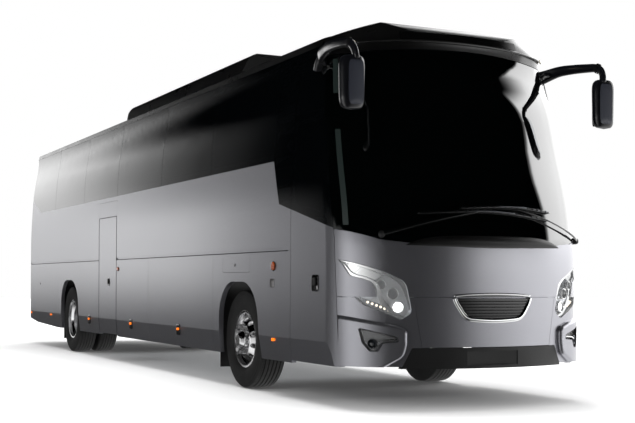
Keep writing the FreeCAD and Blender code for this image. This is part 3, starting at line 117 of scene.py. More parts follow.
def bumped(material, scale, depth, detail, socket="Normal"):
    grain = noise(material, scale, detail)
    bump = addNode(material, "ShaderNodeBump", values={"Strength": depth, "Distance": 0.001},
                   links={"Height": (grain, "Fac")})
    linkShader(material, socket, bump, "Normal")
    return material


def bodyLacquer():
    # cool grey basecoat with aluminium flake under clear lacquer, the lacquer very slightly wavy
    material = newMaterial("metallicLacquer", "#a3a3a9", metallic=0.92, roughness=0.3,
                           coat=0.5, coatRoughness=0.06)
    hazed(material, 900.0, 0.26, 0.34, 1.0)
    return bumped(material, 22.0, 0.04, 2.0, "Coat Normal")


def roofLacquer():
    material = newMaterial("blackLacquer", "#080808", roughness=0.3, coat=0.5, coatRoughness=0.06)
    return hazed(material, 3.0, 0.26, 0.34)


def darkGlass():
    # bonded privacy glass: almost black from outside, a clean outer face
    material = newMaterial("privacyGlass", "#030405", roughness=0.02, alpha=0.96, ior=1.6, coat=0.4,
                           coatRoughness=0.01)
    return hazed(material, 2.0, 0.012, 0.03)


def grained(name, colour, roughness, scale=400.0, depth=0.15):
    material = bumped(newMaterial(name, colour, roughness=roughness), scale, depth, 3.0)
    return hazed(material, 5.0, roughness - 0.05, roughness + 0.05)


def brushedMetal(name, colour, roughness):
    material = newMaterial(name, colour, metallic=1.0, roughness=roughness)
    return hazed(material, 60.0, roughness - 0.04, roughness + 0.06, 4.0)


paint = bodyLacquer()
gloss = roofLacquer()
glass = darkGlass()
blackPlastic = grained("grainedAbs", "#131313", 0.45)
pianoBlack = newMaterial("pianoBlack", "#050505", roughness=0.12, coat=0.5)
chrome = newMaterial("chromedTrim", "#e9eaea", metallic=1.0, roughness=0.06)
polished = brushedMetal("polishedAluminium", "#eeeeef", 0.2)
rubber = grained("tyreRubber", "#161616", 0.7, 250.0, 0.25)
seal = newMaterial("sealRubber", "#070707", roughness=0.6)
amber = newMaterial("amberLens", "#ff7a12", roughness=0.1, coat=0.5, glow=0.9)
redLens = newMaterial("redLens", "#7c0d0c", roughness=0.1, coat=1.0)
clearLens = newMaterial("polycarbonateLens", "#f2f4f6", roughness=0.02, alpha=0.14)
lampGlow = newMaterial("ledGlow", "#ffffff", roughness=0.2, glow=1.6)
cloth = grained("wovenPlush", "#2b2d34", 0.9, 900.0, 0.5)
trim = grained("dashAbs", "#222324", 0.55)

finishes = {
    "body_paint": paint,
    "roof_paint": gloss,
    "tinted_glass": glass,
    "black_plastic": blackPlastic,
    "lamp_clear": clearLens,
    "lamp_red": redLens,
    "floor_vinyl": grained("speckledVinyl", "#3a3a3c", 0.6, 120.0, 0.1),
    "bay_sheet": brushedMetal("milledAluminium", "#b4b6b8", 0.42),
    "chassis_paint": grained("chassisEnamel", "#191919", 0.5, 90.0, 0.1),
    "air_spring_rubber": grained("bellowsRubber", "#101010", 0.7),
    "dash_plastic": trim,
    "seat_cloth": cloth,
    "tyre_rubber": rubber,
    "polished_rim": polished,
}

for row in frame["record"]["subparts"]:
    mesh = nodes[row["node"]].data
    mesh.materials.clear()
    mesh.materials.append(finishes[row["material_slot"]])
nodes["windscreen"].data.materials[0] = newMaterial("laminatedGlass", "#020303",
                                                    roughness=0.015, alpha=0.96, ior=2.1,
                                                    coat=1.0, coatRoughness=0.01)
print("stage: materials on the frame")

brushedBowl = brushedMetal("metallisedBowl", "#e2e5ea", 0.34)
darkChrome = brushedMetal("smokedChrome", "#5c5e62", 0.16)
projectorGlass = newMaterial("projectorGlass", "#14171a", roughness=0.03, coat=1.0)
beadGlow = newMaterial("warmLedBead", "#fff3df", roughness=0.2, glow=1.1)
recessBlack = grained("recessAbs", "#2b2a2b", 0.4)
# the body lacquer made darker for recesses: painted shade on the fog lamp walls and in the side recess
recessShadedLacquer = newMaterial("lacquerWithPaintedRecessShade", "#7a7778", metallic=0.85, roughness=0.35, coat=0.5)
mirrorPaint = newMaterial("mirrorLacquer", "#0c0d11", roughness=0.28, coat=0.7, coatRoughness=0.08)
# a separate panel on the head's forward face; its blue-grey, lighter than the head's own lacquer, is painted
# sheen
mirrorBackSheenPaint = newMaterial("mirrorBackPaintedSheen", "#2b2e38", metallic=0.3, roughness=0.38,
                          coat=0.4, coatRoughness=0.15)
mirrorSilver = newMaterial("silveredGlass", "#dfe3e6", metallic=1.0, roughness=0.02)
hoodBlack = grained("cowlAbs", "#080808", 0.38, 300.0, 0.08)
browGloss = newMaterial("browLacquer", "#2a2a2a", metallic=0.6, roughness=0.14, coat=1.0)
pillarGrey = newMaterial("pillarReveal", "#1b2422", roughness=0.35)
creamLens = newMaterial("creamLens", "#cfc6ae", roughness=0.15, coat=0.6)
repeaterLens = newMaterial("smokedAmberLens", "#8a3c12", roughness=0.1, coat=0.8)

def gridMesh(name, grids, closeAcross=False, closeAlong=False):
    # a grid has one row for each step along and one column for each step across; neighbours are joined by
    # quads
    rows, columns = grids[0].shape[:2]
    along = np.arange(rows if closeAlong else rows - 1)
    across = np.arange(columns if closeAcross else columns - 1)
    a, b = (steps.ravel() for steps in np.meshgrid(along, across, indexing="ij"))
    a2, b2 = (a + 1) % rows, (b + 1) % columns
    quad = np.stack([a * columns + b, a * columns + b2, a2 * columns + b2, a2 * columns + b], 1)
    quads = (quad[None] + (np.arange(len(grids)) * rows * columns)[:, None, None]).reshape(-1, 4)
    mesh = bpy.data.meshes.new(name)
    mesh.from_pydata(np.concatenate([grid.reshape(-1, 3) for grid in grids]).tolist(), [], quads.tolist())
    mesh.polygons.foreach_set("use_smooth", np.full(len(quads), True))
    return mesh


def addPiece(name, mesh, material, body):
    mesh.materials.append(material)
    piece = bpy.data.objects.new(name, mesh)
    scene.collection.objects.link(piece)
    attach(piece, body)
    return piece


def surface(name, points, material, body="coach", closeAcross=False, closeAlong=False):
    return addPiece(name, gridMesh(name, [points], closeAcross, closeAlong), material, body)


def stacked(name, grids, material, body="coach"):
    # several closed grids of the same shape in one piece
    return addPiece(name, gridMesh(name, grids, True), material, body)


def ringed(name, rings, material, body="coach"):
    return surface(name, rings, material, body, closeAcross=True)


def unit(vectors):
    return vectors / np.maximum(np.linalg.norm(vectors, axis=-1, keepdims=True), 1e-9)


def smoothPath(points, count):
    # Catmull-Rom through the points: each span is the cubic whose ends' slopes are half the chord of its
    # neighbours
    p = np.asarray(points, float)
    p = np.vstack([2 * p[0] - p[1], p, 2 * p[-1] - p[-2]])
    t = np.linspace(0, len(p) - 3 - 1e-6, count)
    i = t.astype(int)
    f = (t - i)[:, None]
    a, b, c, d = p[i], p[i + 1], p[i + 2], p[i + 3]
    return 0.5 * (2 * b + (c - a) * f + (2 * a - 5 * b + 4 * c - d) * f ** 2
                  + (3 * b - a - 3 * c + d) * f ** 3)


def sweep(path, profile, up=(0, 0, 1), closed=False, swell=None):
    # a profile (side, up) carried along a path, its up side kept as near to up as the path allows
    path = np.asarray(path, float)
    if closed:
        run = unit(np.roll(path, -1, 0) - np.roll(path, 1, 0))
    else:
        run = unit(np.gradient(path, axis=0))
    top = np.broadcast_to(np.asarray(up, float), path.shape)
    top = unit(top - run * np.sum(top * run, 1)[:, None])
    side = np.cross(run, top)
    profile = np.asarray(profile, float)
    size = np.ones(len(path)) if swell is None else np.asarray(swell, float)
    rings = path[:, None] + size[:, None, None] * (
        side[:, None] * profile[None, :, :1] + top[:, None] * profile[None, :, 1:])
    return np.vstack([rings, rings[:1]]) if closed else rings


def capped(rings):
    # closes both ends of a swept piece by drawing the end rings in to their middles
    return np.concatenate([np.broadcast_to(rings[0].mean(0), rings[:1].shape), rings,
                           np.broadcast_to(rings[-1].mean(0), rings[:1].shape)])


def roundProfile(wide, high, power=2.0, count=24):
    # superellipse: |side / wide| ** power + |up / high| ** power = 1
    a = np.linspace(0, 2 * np.pi, count, endpoint=False)
    c, s = np.cos(a), np.sin(a)
    return np.stack([wide * np.sign(c) * abs(c) ** (2 / power), high * np.sign(s) * abs(s) ** (2 / power)],
                    1)


def turned(profile, centre, axis, count=48):
    # a profile (distance along the axis, radius) turned about the axis through centre
    axis = unit(np.asarray(axis, float))
    first = unit(np.cross(axis, (0.3, 0.2, 0.9)))
    second = np.cross(axis, first)
    angle = np.linspace(0, 2 * np.pi, count, endpoint=False)
    ring = first * np.cos(angle)[:, None] + second * np.sin(angle)[:, None]
    profile = np.asarray(profile, float)
    return np.asarray(centre, float) + axis * profile[:, None, :1] + ring[None] * profile[:, None, 1:]


# the coach's own form, for pieces that lie on it
form = {
    "half": 1.275, "leanFrom": 1.7, "leanRadius": 11.186, "tuckFrom": 0.6, "tuckWidth": 1.277,
    "hem": (0.35, 1.254),
    "nose": -6.46, "rakeFrom": 1.35, "rakeRadius": 2.112, "rakeArc": 0.655, "rakeSlope": 0.31,
    "noseRadius": 2.2, "wideShare": 0.745,
}


def halfWidth(z):
    # upright to leanFrom, then leaning in along a circle; the skirt tucks in below tuckFrom
    lean = form["half"] - np.maximum(z - form["leanFrom"], 0) ** 2 / (2 * form["leanRadius"])
    foot, width = form["hem"]
    tuck = form["tuckWidth"] + (z - form["tuckFrom"]) * (form["tuckWidth"]
                                                         - width) / (form["tuckFrom"] - foot)
    return np.minimum(lean, np.where(z < form["tuckFrom"], tuck, 9))


def noseLine(z):
    rise = np.clip(z - form["rakeFrom"], 0, form["rakeArc"])
    return (form["nose"] + rise ** 2 / (2 * form["rakeRadius"])
            + form["rakeSlope"] * np.maximum(z - form["rakeFrom"] - form["rakeArc"], 0))


def onNose(x, z, out=0.0):
    # a wide arc about the middle, then a corner arc that meets the side; out stands off along the normal
    x, z, out = np.broadcast_arrays(np.asarray(x, float), np.asarray(z, float), np.asarray(out, float))
    half = form["half"] - np.maximum(z - form["leanFrom"], 0) ** 2 / (2 * form["leanRadius"])
    share, radius = form["wideShare"], form["noseRadius"]
    turn = np.arcsin(share * half / radius)
    corner = (1 - share) * half / (1 - np.sin(turn))
    hubX, hubY = (radius - corner) * np.sin(turn), noseLine(z) + radius - (radius - corner) * np.cos(turn)
    wide = np.abs(x) <= share * half
    sine = np.where(wide, np.abs(x) / radius, np.clip((np.abs(x) - hubX) / corner, 0, 1))
    cosine = np.sqrt(1 - sine ** 2)
    y = np.where(wide, noseLine(z) + radius * (1 - cosine), hubY - corner * cosine)
    step = 0.001
    rake = (noseLine(z + step) - noseLine(z - step)) / (2 * step)
    normal = unit(np.stack([np.sign(x) * sine, -cosine, cosine * rake], -1))
    return np.stack([x, y, z], -1) + normal * out[..., None]


def onSide(y, z, side, out=0.0):
    y, z, out = np.broadcast_arrays(np.asarray(y, float), np.asarray(z, float), np.asarray(out, float))
    return np.stack([side * (halfWidth(z) + out), y, z], -1)


def pad(place, across, upward, wide, high, deep, power=6.0, dish=0.0):
    # a button on a surface: superellipse rings that rise deep along the normal, then close over the middle
    across, upward = unit(np.asarray(across, float)), unit(np.asarray(upward, float))
    normal = np.cross(across, upward)
    ring = roundProfile(wide / 2, high / 2, power, 48)
    steps = np.array([(1.0, 0.0), (1.0, 0.6), (0.985, 0.85), (0.95, 1.0), (0.8, 1.0 - dish),
                      (0.4, 1.0 - dish),
                      (0.0, 1.0 - dish)])
    return (np.asarray(place, float) + ring[None, :, :1] * steps[:, None, :1] * across
            + ring[None, :, 1:] * steps[:, None, :1] * upward + deep * steps[:, None, 1:] * normal)

# headlamps: metallised bowl, two projectors, a bright disc and a row of leds behind a clear cover
lamp = {
    "outer": [(-1.236, 1.292), (-1.12, 1.252), (-1.0, 1.203), (-0.9, 1.163),
              (-0.81, 1.105), (-0.77, 0.98), (-0.757, 0.88)],
    "inner": [(-1.226, 1.268), (-1.19, 1.17), (-1.1, 1.13), (-1.03, 1.07), (-1.0, 0.94),
              (-0.9, 0.83), (-0.815, 0.80)],
    "projectors": [(-0.99, 1.086, 0.042), (-0.9, 1.011, 0.05)],
    "disc": (-0.858, 0.894, 0.047), "ledFrom": (-1.09, 0.936), "ledTo": (-0.93, 0.868), "leds": 6,
}


def mirroredX(points):
    return points * np.array([-1.0, 1, 1])


def noseFrame(x, z):
    # a point on the nose with its outward normal, and the two directions along the surface
    here = onNose(x, z)
    normal = onNose(x, z, 1.0) - here
    across = unit(np.cross((0, 0, 1), -normal))
    return here, normal, across, np.cross(normal, -across) * -1


for side, hand in ((-1, "Right"), (1, "Left")):
    flip = (lambda p: p) if side < 0 else mirroredX
    u = np.linspace(-1.27, -0.72, 40)
    w = np.linspace(0.77, 1.32, 40)
    bowl = onNose(u[:, None], w[None], -0.060 + 0 * u[:, None])
    surface("lampBowl" + hand, flip(bowl), brushedBowl)
    rails = [smoothPath(lamp[key], 60) for key in ("outer", "inner")]
    for number, (t0, t1, depth) in enumerate(((0.0, 0.16, -0.012), (0.84, 1.0, -0.012))):
        mix = np.linspace(t0, t1, 6)[:, None, None]
        strip = rails[0] * (1 - mix) + rails[1] * mix
        surface("lampLip%s%d" % (hand, number), flip(onNose(strip[..., 0], strip[..., 1], depth)),
                chrome)
    mix = np.linspace(0.2, 0.8, 24)[:, None, None]
    wing = rails[0][:26] * (1 - mix) + rails[1][:26] * mix
    ribs = -0.030 - 0.006 * np.cos(np.linspace(0, 24 * np.pi, 26))[None, :] * np.ones((24, 1))
    surface("lampWing" + hand, flip(onNose(wing[..., 0], wing[..., 1], ribs)),
            chrome)
    for number, (x, z, r) in enumerate(lamp["projectors"]):
        here, normal, across, upward = noseFrame(x, z)
        bezel = [(-0.055, r * 0.95), (-0.012, r * 1.0), (-0.004, r * 0.97),
                 (-0.004, r * 0.88), (-0.014, r * 0.8),
                 (-0.02, r * 0.74), (-0.05, r * 0.7)]
        ringed("lampBezel%s%d" % (hand, number), flip(turned(bezel, here, normal)), chrome)
        a = np.linspace(0, np.pi / 2, 14)
        dome = np.stack([-0.045 + 0.030 * np.sin(a), r * 0.66 * np.cos(a)], 1)
        ringed("lampProjector%s%d" % (hand, number), flip(turned(dome, here, normal)),
               projectorGlass)
        ring = [(-0.05, r * 0.82), (-0.03, r * 0.78), (-0.026, r * 0.72), (-0.03, r * 0.66)]
        ringed("lampRing%s%d" % (hand, number), flip(turned(ring, here, normal)), darkChrome)
    x, z, r = lamp["disc"]
    here, normal, across, upward = noseFrame(x, z)
    a = np.linspace(0, np.pi / 2, 12)
    disc = np.stack([-0.030 + 0.016 * np.sin(a), r * 0.9 * np.cos(a)], 1)
    ringed("lampDisc" + hand, flip(turned(disc, here, normal)), lampGlow)
    hoop = [(-0.05, r * 1.1), (-0.012, r * 1.1), (-0.008, r * 1.02), (-0.03, r * 0.9)]
    ringed("lampHoop" + hand, flip(turned(hoop, here, normal)), chrome)
    beads = []
    for share in np.linspace(0, 1, lamp["leds"]):
        bx = lamp["ledFrom"][0] + share * (lamp["ledTo"][0] - lamp["ledFrom"][0])
        bz = lamp["ledFrom"][1] + share * (lamp["ledTo"][1] - lamp["ledFrom"][1])
        here, normal, across, upward = noseFrame(bx, bz)
        dome = np.stack([-0.040 + 0.024 * np.sin(a), 0.0115 * np.cos(a)], 1)
        beads.append(flip(turned(dome, here, normal, 20)))
    stacked("lampBeads" + hand, beads, beadGlow)
    shelf = np.array([[(-1.15, 0.975), (-0.905, 0.885)], [(-1.12, 0.905), (-0.895, 0.825)]])
    mix = np.linspace(0, 1, 12)[:, None]
    fall = np.linspace(0, 1, 8)[:, None, None]
    edges = [row[0] * (1 - mix) + row[1] * mix for row in shelf]
    grid = edges[0][None] * (1 - fall) + edges[1][None] * fall
    surface("lampShelf" + hand, flip(onNose(grid[..., 0], grid[..., 1], -0.042)),
            darkChrome)
print("stage: headlamps")

# fog lamps: a dark recess in the bumper's cheek, its walls darkened as painted shade, with a small lamp and a
# bright lower lip
fog = {
    "lamp": (-1.071, 0.585, 0.036), "ahead": 0.045,
    "lip": [(-1.157, 0.712), (-1.03, 0.678), (-0.885, 0.640), (-0.873, 0.603), (-0.99, 0.592), (-1.032, 0.522),
            (-1.086, 0.522), (-1.132, 0.592)],
}


def onCheek(x, z, out=0.0):
    # the bumper's cheek stands in front of the nose
    return onNose(x, z, out) - np.array([0, fog["ahead"], 0])


for side, hand in ((-1, "Right"), (1, "Left")):
    flip = (lambda p: p) if side < 0 else mirroredX
    u = np.linspace(-1.185, -0.85, 24)
    w = np.linspace(0.50, 0.735, 20)
    surface("fogRecess" + hand, flip(onNose(u[:, None], w[None], -0.012 + 0 * u[:, None])),
            recessBlack)
    corners = np.array(fog["lip"])
    loop = np.vstack([corners, corners[:1]])
    share = np.linspace(0, 1, 12, endpoint=False)[:, None]
    dense = np.concatenate([start + share * (end - start) for start, end in zip(loop, loop[1:])])
    inward = corners.mean(0) + (dense - corners.mean(0)) * 0.93
    edge = onCheek(dense[:, 0], dense[:, 1], -0.002)
    deep = onCheek(inward[:, 0], inward[:, 1], -0.045)
    mix = np.linspace(0, 1, 6)[None, :, None]
    walls = edge[:, None] * (1 - mix) + deep[:, None] * mix
    # the recess walls take the darker lacquer, painted shade
    surface("fogWalls" + hand, flip(walls), recessShadedLacquer, closeAlong=True)
    x, z, r = fog["lamp"]
    here = onCheek(x, z)
    normal = unit(onCheek(x, z, 1.0) - here)
    bezel = [(-0.05, r * 1.15), (-0.014, r * 1.12), (-0.008, r * 1.0), (-0.018, r * 0.9), (-0.03, r * 0.86)]
    ringed("fogBezel" + hand, flip(turned(bezel, here, normal)), darkChrome)
    a = np.linspace(0, np.pi / 2, 12)
    dome = np.stack([-0.030 + 0.012 * np.sin(a), r * 0.86 * np.cos(a)], 1)
    ringed("fogLens" + hand, flip(turned(dome, here, normal)), projectorGlass)
    blade = smoothPath([(-1.03, 0.600), (-0.995, 0.612), (-0.94, 0.618), (-0.885, 0.622)], 24)
    ringed("fogBlade" + hand, flip(sweep(onCheek(blade[:, 0], blade[:, 1], -0.008),
                                         roundProfile(0.010, 0.006, 3, 12))), chrome)
print("stage: fog lamps")

# badge: a bright frame round a ribbed black plate, left bare
badge = {"corner": [(-0.39, 0.973), (-0.372, 0.93), (-0.333, 0.868), (-0.30, 0.825),
                    (-0.262, 0.80), (-0.20, 0.788),
                    (0.0, 0.778)], "frameWide": 0.021, "frameDeep": 0.014, "ribs": 7}
left = np.array(badge["corner"])
outline = np.vstack([left, left[::-1][1:] * np.array([-1, 1])])
rim = smoothPath(outline, 120)
surface("badgeFrame", capped(sweep(onNose(rim[:, 0], rim[:, 1], 0.012),
                                   roundProfile(badge["frameWide"], badge["frameDeep"], 3, 20),
                                   up=(0, -1, 0))), chrome, "front_flap", closeAcross=True)
level = np.linspace(0.795, 0.973, 90)
reach = np.interp(level, [0.778, 0.80, 0.825, 0.868, 0.93, 0.973], [0.15, 0.255, 0.297, 0.328, 0.366, 0.385])
ripple = 0.010 + 0.004 * (np.abs(np.sin(np.linspace(0, np.pi * badge["ribs"], 90))) > 0.35)
u = np.linspace(-1, 1, 40)
plate = onNose(u[None] * reach[:, None], level[:, None] + 0 * u[None], ripple[:, None] + 0 * u[None])
surface("badgePlate", plate, pianoBlack, "front_flap")
cap = smoothPath([(-0.392, 0.992), (-0.25, 1.004), (0.0, 1.010), (0.25, 1.004), (0.392, 0.992)], 60)
ringed("badgeCap", capped(sweep(onNose(cap[:, 0], cap[:, 1], 0.008), roundProfile(0.010, 0.010, 3, 16),
                                up=(0, -1, 0))), chrome)
band = onNose(np.linspace(-0.385, 0.385, 40)[None], np.linspace(0.985, 1.0, 5)[:, None], 0.004)
surface("badgeHead", band, pianoBlack)
print("stage: badge")

# mirrors: ribbon arms from a foot above the door, heads with a back panel painted lighter as painted sheen,
# and a glass facing aft
mirror = {
    "arm": [(-1.165, -5.452, 3.118), (-1.225, -5.50, 3.136), (-1.262, -5.694, 3.163),
            (-1.288, -5.88, 3.158), (-1.302, -6.063, 3.141),
            (-1.305, -6.20, 3.122), (-1.303, -6.272, 3.085), (-1.296, -6.308, 3.03), (-1.288, -6.316, 2.97)],
    "depth": [0.072, 0.066, 0.052, 0.046, 0.042, 0.040, 0.038, 0.036, 0.034],
    "thick": [0.026, 0.025, 0.022, 0.021, 0.021, 0.021, 0.022, 0.024, 0.026],
    "head": (-1.316, -6.288, 2.772), "headHalf": (0.112, 0.05, 0.232),
}


def mirrorHead(centre, half, grow=1.0, power=3.4):
    # superellipse rings from top to foot, narrower below, bulging forwards
    v = np.linspace(-1, 1, 40)
    ring = roundProfile(1, 1, power, 56)
    fullness = (1 - np.abs(v) ** 7) ** (1 / 3.0)
    wide = half[0] * grow * fullness * (1 - 0.05 * v)
    deep = half[1] * grow * (1 - np.abs(v) ** 6) ** (1 / 2.4)
    x = ring[None, :, 0] * wide[:, None]
    y = ring[None, :, 1] * deep[:, None] - 0.012 * (1 - (x / half[0]) ** 2)
    z = np.broadcast_to(-v[:, None] * half[2] * grow, x.shape)
    return np.asarray(centre) + np.stack([x, y, z], 2)


for side, hand in ((-1, "Right"), (1, "Left")):
    flip = (lambda p: p) if side < 0 else mirroredX
    path = smoothPath(mirror["arm"], 70)
    spans = np.linspace(0, 1, len(mirror["arm"]))
    depth = np.interp(np.linspace(0, 1, 70), spans, mirror["depth"])
    thick = np.interp(np.linspace(0, 1, 70), spans, mirror["thick"])
    run = unit(np.gradient(path, axis=0))
    outward = unit(np.array([1.0, 0, 0]) - run * run[:, :1])
    upward = np.cross(outward, run)
    ring = roundProfile(1, 1, 2.6, 28)
    arm = (path[:, None] + outward[:, None] * ring[None, :, :1] * thick[:, None, None]
           + upward[:, None] * ring[None, :, 1:] * depth[:, None, None])
    ringed("mirrorArm" + hand, flip(capped(arm)), mirrorPaint)
    collar = sweep(path[44:48], roundProfile(0.0245, 0.047, 2.6, 28), up=(0, 0, 1))
    ringed("mirrorCollar" + hand, flip(collar), seal)
    foot = np.array([(-1.19, -5.40, 3.03), (-1.205, -5.45, 3.085), (-1.212, -5.52, 3.13),
                     (-1.20, -5.60, 3.15)])
    bracket = sweep(smoothPath(foot, 24), roundProfile(0.030, 0.052, 3, 28),
                    up=(1, 0, 0.2), swell=np.linspace(1.0, 0.7, 24))
    ringed("mirrorFoot" + hand, flip(capped(bracket)), mirrorPaint)
    head = mirrorHead(mirror["head"], mirror["headHalf"])
    ringed("mirrorHead" + hand, flip(head), mirrorPaint)
    cx, cy, cz = mirror["head"]
    hy = mirror["headHalf"][1]
    u = np.linspace(-1, 1, 24)
    w = np.linspace(-1, 1, 40)
    bow = 1 - 0.12 * np.abs(w[None]) ** 6
    face = np.stack([cx + 0.012 + u[:, None] * 0.072 * bow,
                     cy - hy - 0.0135 - 0.004 * (1 - u[:, None] ** 2) * (1 - w[None] ** 8),
                     cz - 0.004 + w[None] * 0.185 * (1 - 0.1 * np.abs(u[:, None]) ** 8)], 2)
    # the forward face, painted lighter than the head as painted sheen
    surface("mirrorBack" + hand, flip(face), mirrorBackSheenPaint)
    view = np.stack(np.broadcast_arrays(cx + u[:, None] * 0.088 * bow, cy + hy - 0.0015,
                                        cz - 0.01 + w[None] * 0.195), 2)
    surface("mirrorGlass" + hand, flip(view), mirrorSilver)
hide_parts("mirrors")
print("stage: mirrors")

# wipers: knobs at the foot of the glass, tapering arms, blades in a carrier with small claws
wiper = {
    "right": {"pivot": (-0.985, 1.515), "knee": (-0.165, 1.715),
              "blade": ((-0.69, 1.700), (0.0, 1.722), (0.64, 1.668))},
    "left": {"pivot": (1.12, 1.50), "knee": (0.235, 1.752),
             "blade": ((-0.31, 1.748), (0.2, 1.768), (0.66, 1.738))},
    "stand": 0.030,
}
for hand, piece in (("Right", wiper["right"]), ("Left", wiper["left"])):
    (px, pz), (kx, kz) = piece["pivot"], piece["knee"]
    t = np.linspace(0, 1, 40)
    armX, armZ = px + (kx - px) * t, pz + (kz - pz) * t + 0.012 * np.sin(np.pi * t)
    arm = onNose(armX, armZ, wiper["stand"] + 0.018 * np.sin(np.pi * t))
    taper = np.interp(t, [0, 0.12, 0.3, 1], [1.5, 1.5, 1.0, 0.6])
    ringed("wiperArm" + hand,
                              capped(sweep(arm, roundProfile(0.0085, 0.0055, 3, 14),
                                           up=(0, -1, 0.2), swell=taper)), pianoBlack)
    here, normal, across, upward = noseFrame(px, pz)
    knob = [(0.0, 0.03), (0.02, 0.03), (0.034, 0.026), (0.044, 0.016), (0.046, 0.0)]
    ringed("wiperKnob" + hand, turned(knob, here, normal), blackPlastic)
    spine = smoothPath(piece["blade"], 90)
    back = onNose(spine[:, 0], spine[:, 1], 0.022)
    ringed("wiperBlade" + hand, capped(sweep(back, roundProfile(0.009, 0.005, 4, 12), up=(0, -1, 0.2))),
           pianoBlack)
    edge = onNose(spine[:, 0], spine[:, 1] - 0.004, 0.009)
    ringed("wiperRubber" + hand, capped(sweep(edge, roundProfile(0.003, 0.009, 3, 10), up=(0, -1, 0.2))),
           seal)
    claws = []
    for share in np.linspace(0.05, 0.95, 15):
        spot = spine[int(share * 89)]
        here, normal, across, upward = noseFrame(spot[0], spot[1])
        claws.append(pad(here + normal * 0.012, across, upward, 0.016, 0.024, 0.018, 5))
    stacked("wiperClaws" + hand, claws, darkChrome)
    bridge = spine[30:60]
    yoke = onNose(bridge[:, 0], bridge[:, 1], 0.034 + 0.006 * np.sin(np.linspace(0, np.pi, 30)))
    ringed("wiperYoke" + hand, capped(sweep(yoke, roundProfile(0.006, 0.004, 3, 12), up=(0, -1, 0.2))),
           darkChrome)
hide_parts("wipers")
print("stage: wipers")

# windscreen: hooded black foot, the brow's lip, and a grey strip on each pillar
screen = {"hoodReach": 0.80, "hoodLow": 1.412, "hoodHigh": 1.512, "browHeight": 3.262}

u = np.linspace(-1, 1, 90)
w = np.linspace(0, 1, 20)
crest = screen["hoodHigh"] - 0.085 * np.abs(u) ** 5
swellUp = 0.003 + 0.020 * np.sin(np.pi * w)[None] ** 0.7 * (1 - np.abs(u[:, None]) ** 6)
foot = (screen["hoodLow"] + 0.012 * u ** 2)[:, None]
hoodZ = foot + (crest[:, None] - foot) * w[None]
surface("screenHood", onNose(u[:, None] * screen["hoodReach"], hoodZ, swellUp),
        hoodBlack)

lip = np.linspace(-1, 1, 120)
sizes = np.interp(np.abs(lip), [0, 0.55, 0.62, 1.0], [1.0, 1.0, 0.75, 0.45])
lipPath = onNose(lip * 0.98, screen["browHeight"] - 0.035 * np.abs(lip) ** 3, 0.010)
ringed("browLip", capped(sweep(lipPath, roundProfile(0.020, 0.011, 3, 20), up=(0, 0, 1), swell=sizes)),
       browGloss)
shade = np.linspace(0, 1, 10)
visor = onNose(np.linspace(-0.62, 0.62, 80)[None], screen["browHeight"] + 0.012 + 0.075 * shade[:, None],
               0.012 - 0.012 * shade[:, None])
surface("browVisor", visor, pianoBlack)

for side, hand in ((-1, "Right"), (1, "Left")):
    z = np.linspace(1.60, 3.10, 60)
    half = halfWidth(z)
    turn = np.arcsin(form["wideShare"] * half / form["noseRadius"])
    corner = (1 - form["wideShare"]) * half / (1 - np.sin(turn))
    hubX = (form["noseRadius"] - corner) * np.sin(turn)
    strip = []
    for angle in (59, 61, 63, 65):
        a = math.radians(angle)
        x = hubX + (corner + 0.0012) * math.sin(a)
        y = noseLine(z) + form["noseRadius"] - (form["noseRadius"]
                                                - corner) * np.cos(turn) - (corner + 0.0012) * math.cos(a)
        strip.append(np.stack([side * x, y, z], 1))
    surface("pillarStrip" + hand, np.stack(strip), pillarGrey)
    here = onNose(side * 1.02, 3.235, 0.004)
    normal = unit(onNose(side * 1.02, 3.235, 1.0) - here)
    across = unit(np.cross((0, 0, 1), -normal))
    ringed("markerLamp" + hand, pad(here, across, np.cross(-normal, across) * -1, 0.085, 0.032, 0.016, 3),
           creamLens)
print("stage: windscreen")

# tyres: ribbed tread with fine cuts, sidewall rings
tyre = {
    "radius": 0.512, "treadHalf": 0.122, "crown": 0.0085, "cuts": 90, "sideSteps": 32, "treadSteps": 100,
    "grooves": (-0.084, -0.042, 0.0, 0.042, 0.084), "grooveWide": 0.0045, "grooveDeep": 0.013,
    "side": [(-0.118, 0.300), (-0.128, 0.312), (-0.137, 0.335), (-0.1455, 0.375),
             (-0.146, 0.415), (-0.1425, 0.450),
             (-0.137, 0.478), (-0.1325, 0.494), (-0.124, 0.5035)],
    # rings on the sidewall: radius, width and share of the full height
    "rings": ((0.345, 0.0035, 1.0), (0.462, 0.003, 1.0), (0.428, 0.002, 0.7)), "ringHigh": 0.0022,
}


def tyreGrid():
    # half profile: bead to bulge to shoulder by a smooth path, then a slightly crowned tread cut by
    # round-bottomed grooves
    side = smoothPath(tyre["side"], tyre["sideSteps"])
    for radius, wide, share in tyre["rings"]:
        side[:, 0] -= tyre["ringHigh"] * share * np.exp(-((side[:, 1] - radius) / wide) ** 2)
    across = np.linspace(-tyre["treadHalf"], tyre["treadHalf"], tyre["treadSteps"])
    crown = tyre["radius"] - tyre["crown"] * (across / tyre["treadHalf"]) ** 2
    cut = sum(np.exp(-(np.abs(across - g) / tyre["grooveWide"]) ** 4) for g in tyre["grooves"])
    profile = np.vstack([side, np.stack([across, crown - tyre["grooveDeep"] * cut], 1),
                         side[::-1] * np.array([-1, 1])])
    angle = np.linspace(0, 2 * np.pi, tyre["cuts"] * 3, endpoint=False)
    onTread = (np.abs(profile[:, 0]) < 0.128) & (profile[:, 1] > 0.49)
    shoulder = np.clip((np.abs(profile[:, 0]) - 0.094) / 0.01, 0, 1) * onTread
    notch = (np.arange(len(angle)) % 3 == 0)[None] * (0.0055 * shoulder[:, None] + 0.0012 * onTread[:, None])
    radius = profile[:, 1][:, None] - notch
    x = np.broadcast_to(profile[:, 0][:, None], radius.shape)
    return np.stack([x, radius * np.cos(angle), radius * np.sin(angle)], 2)


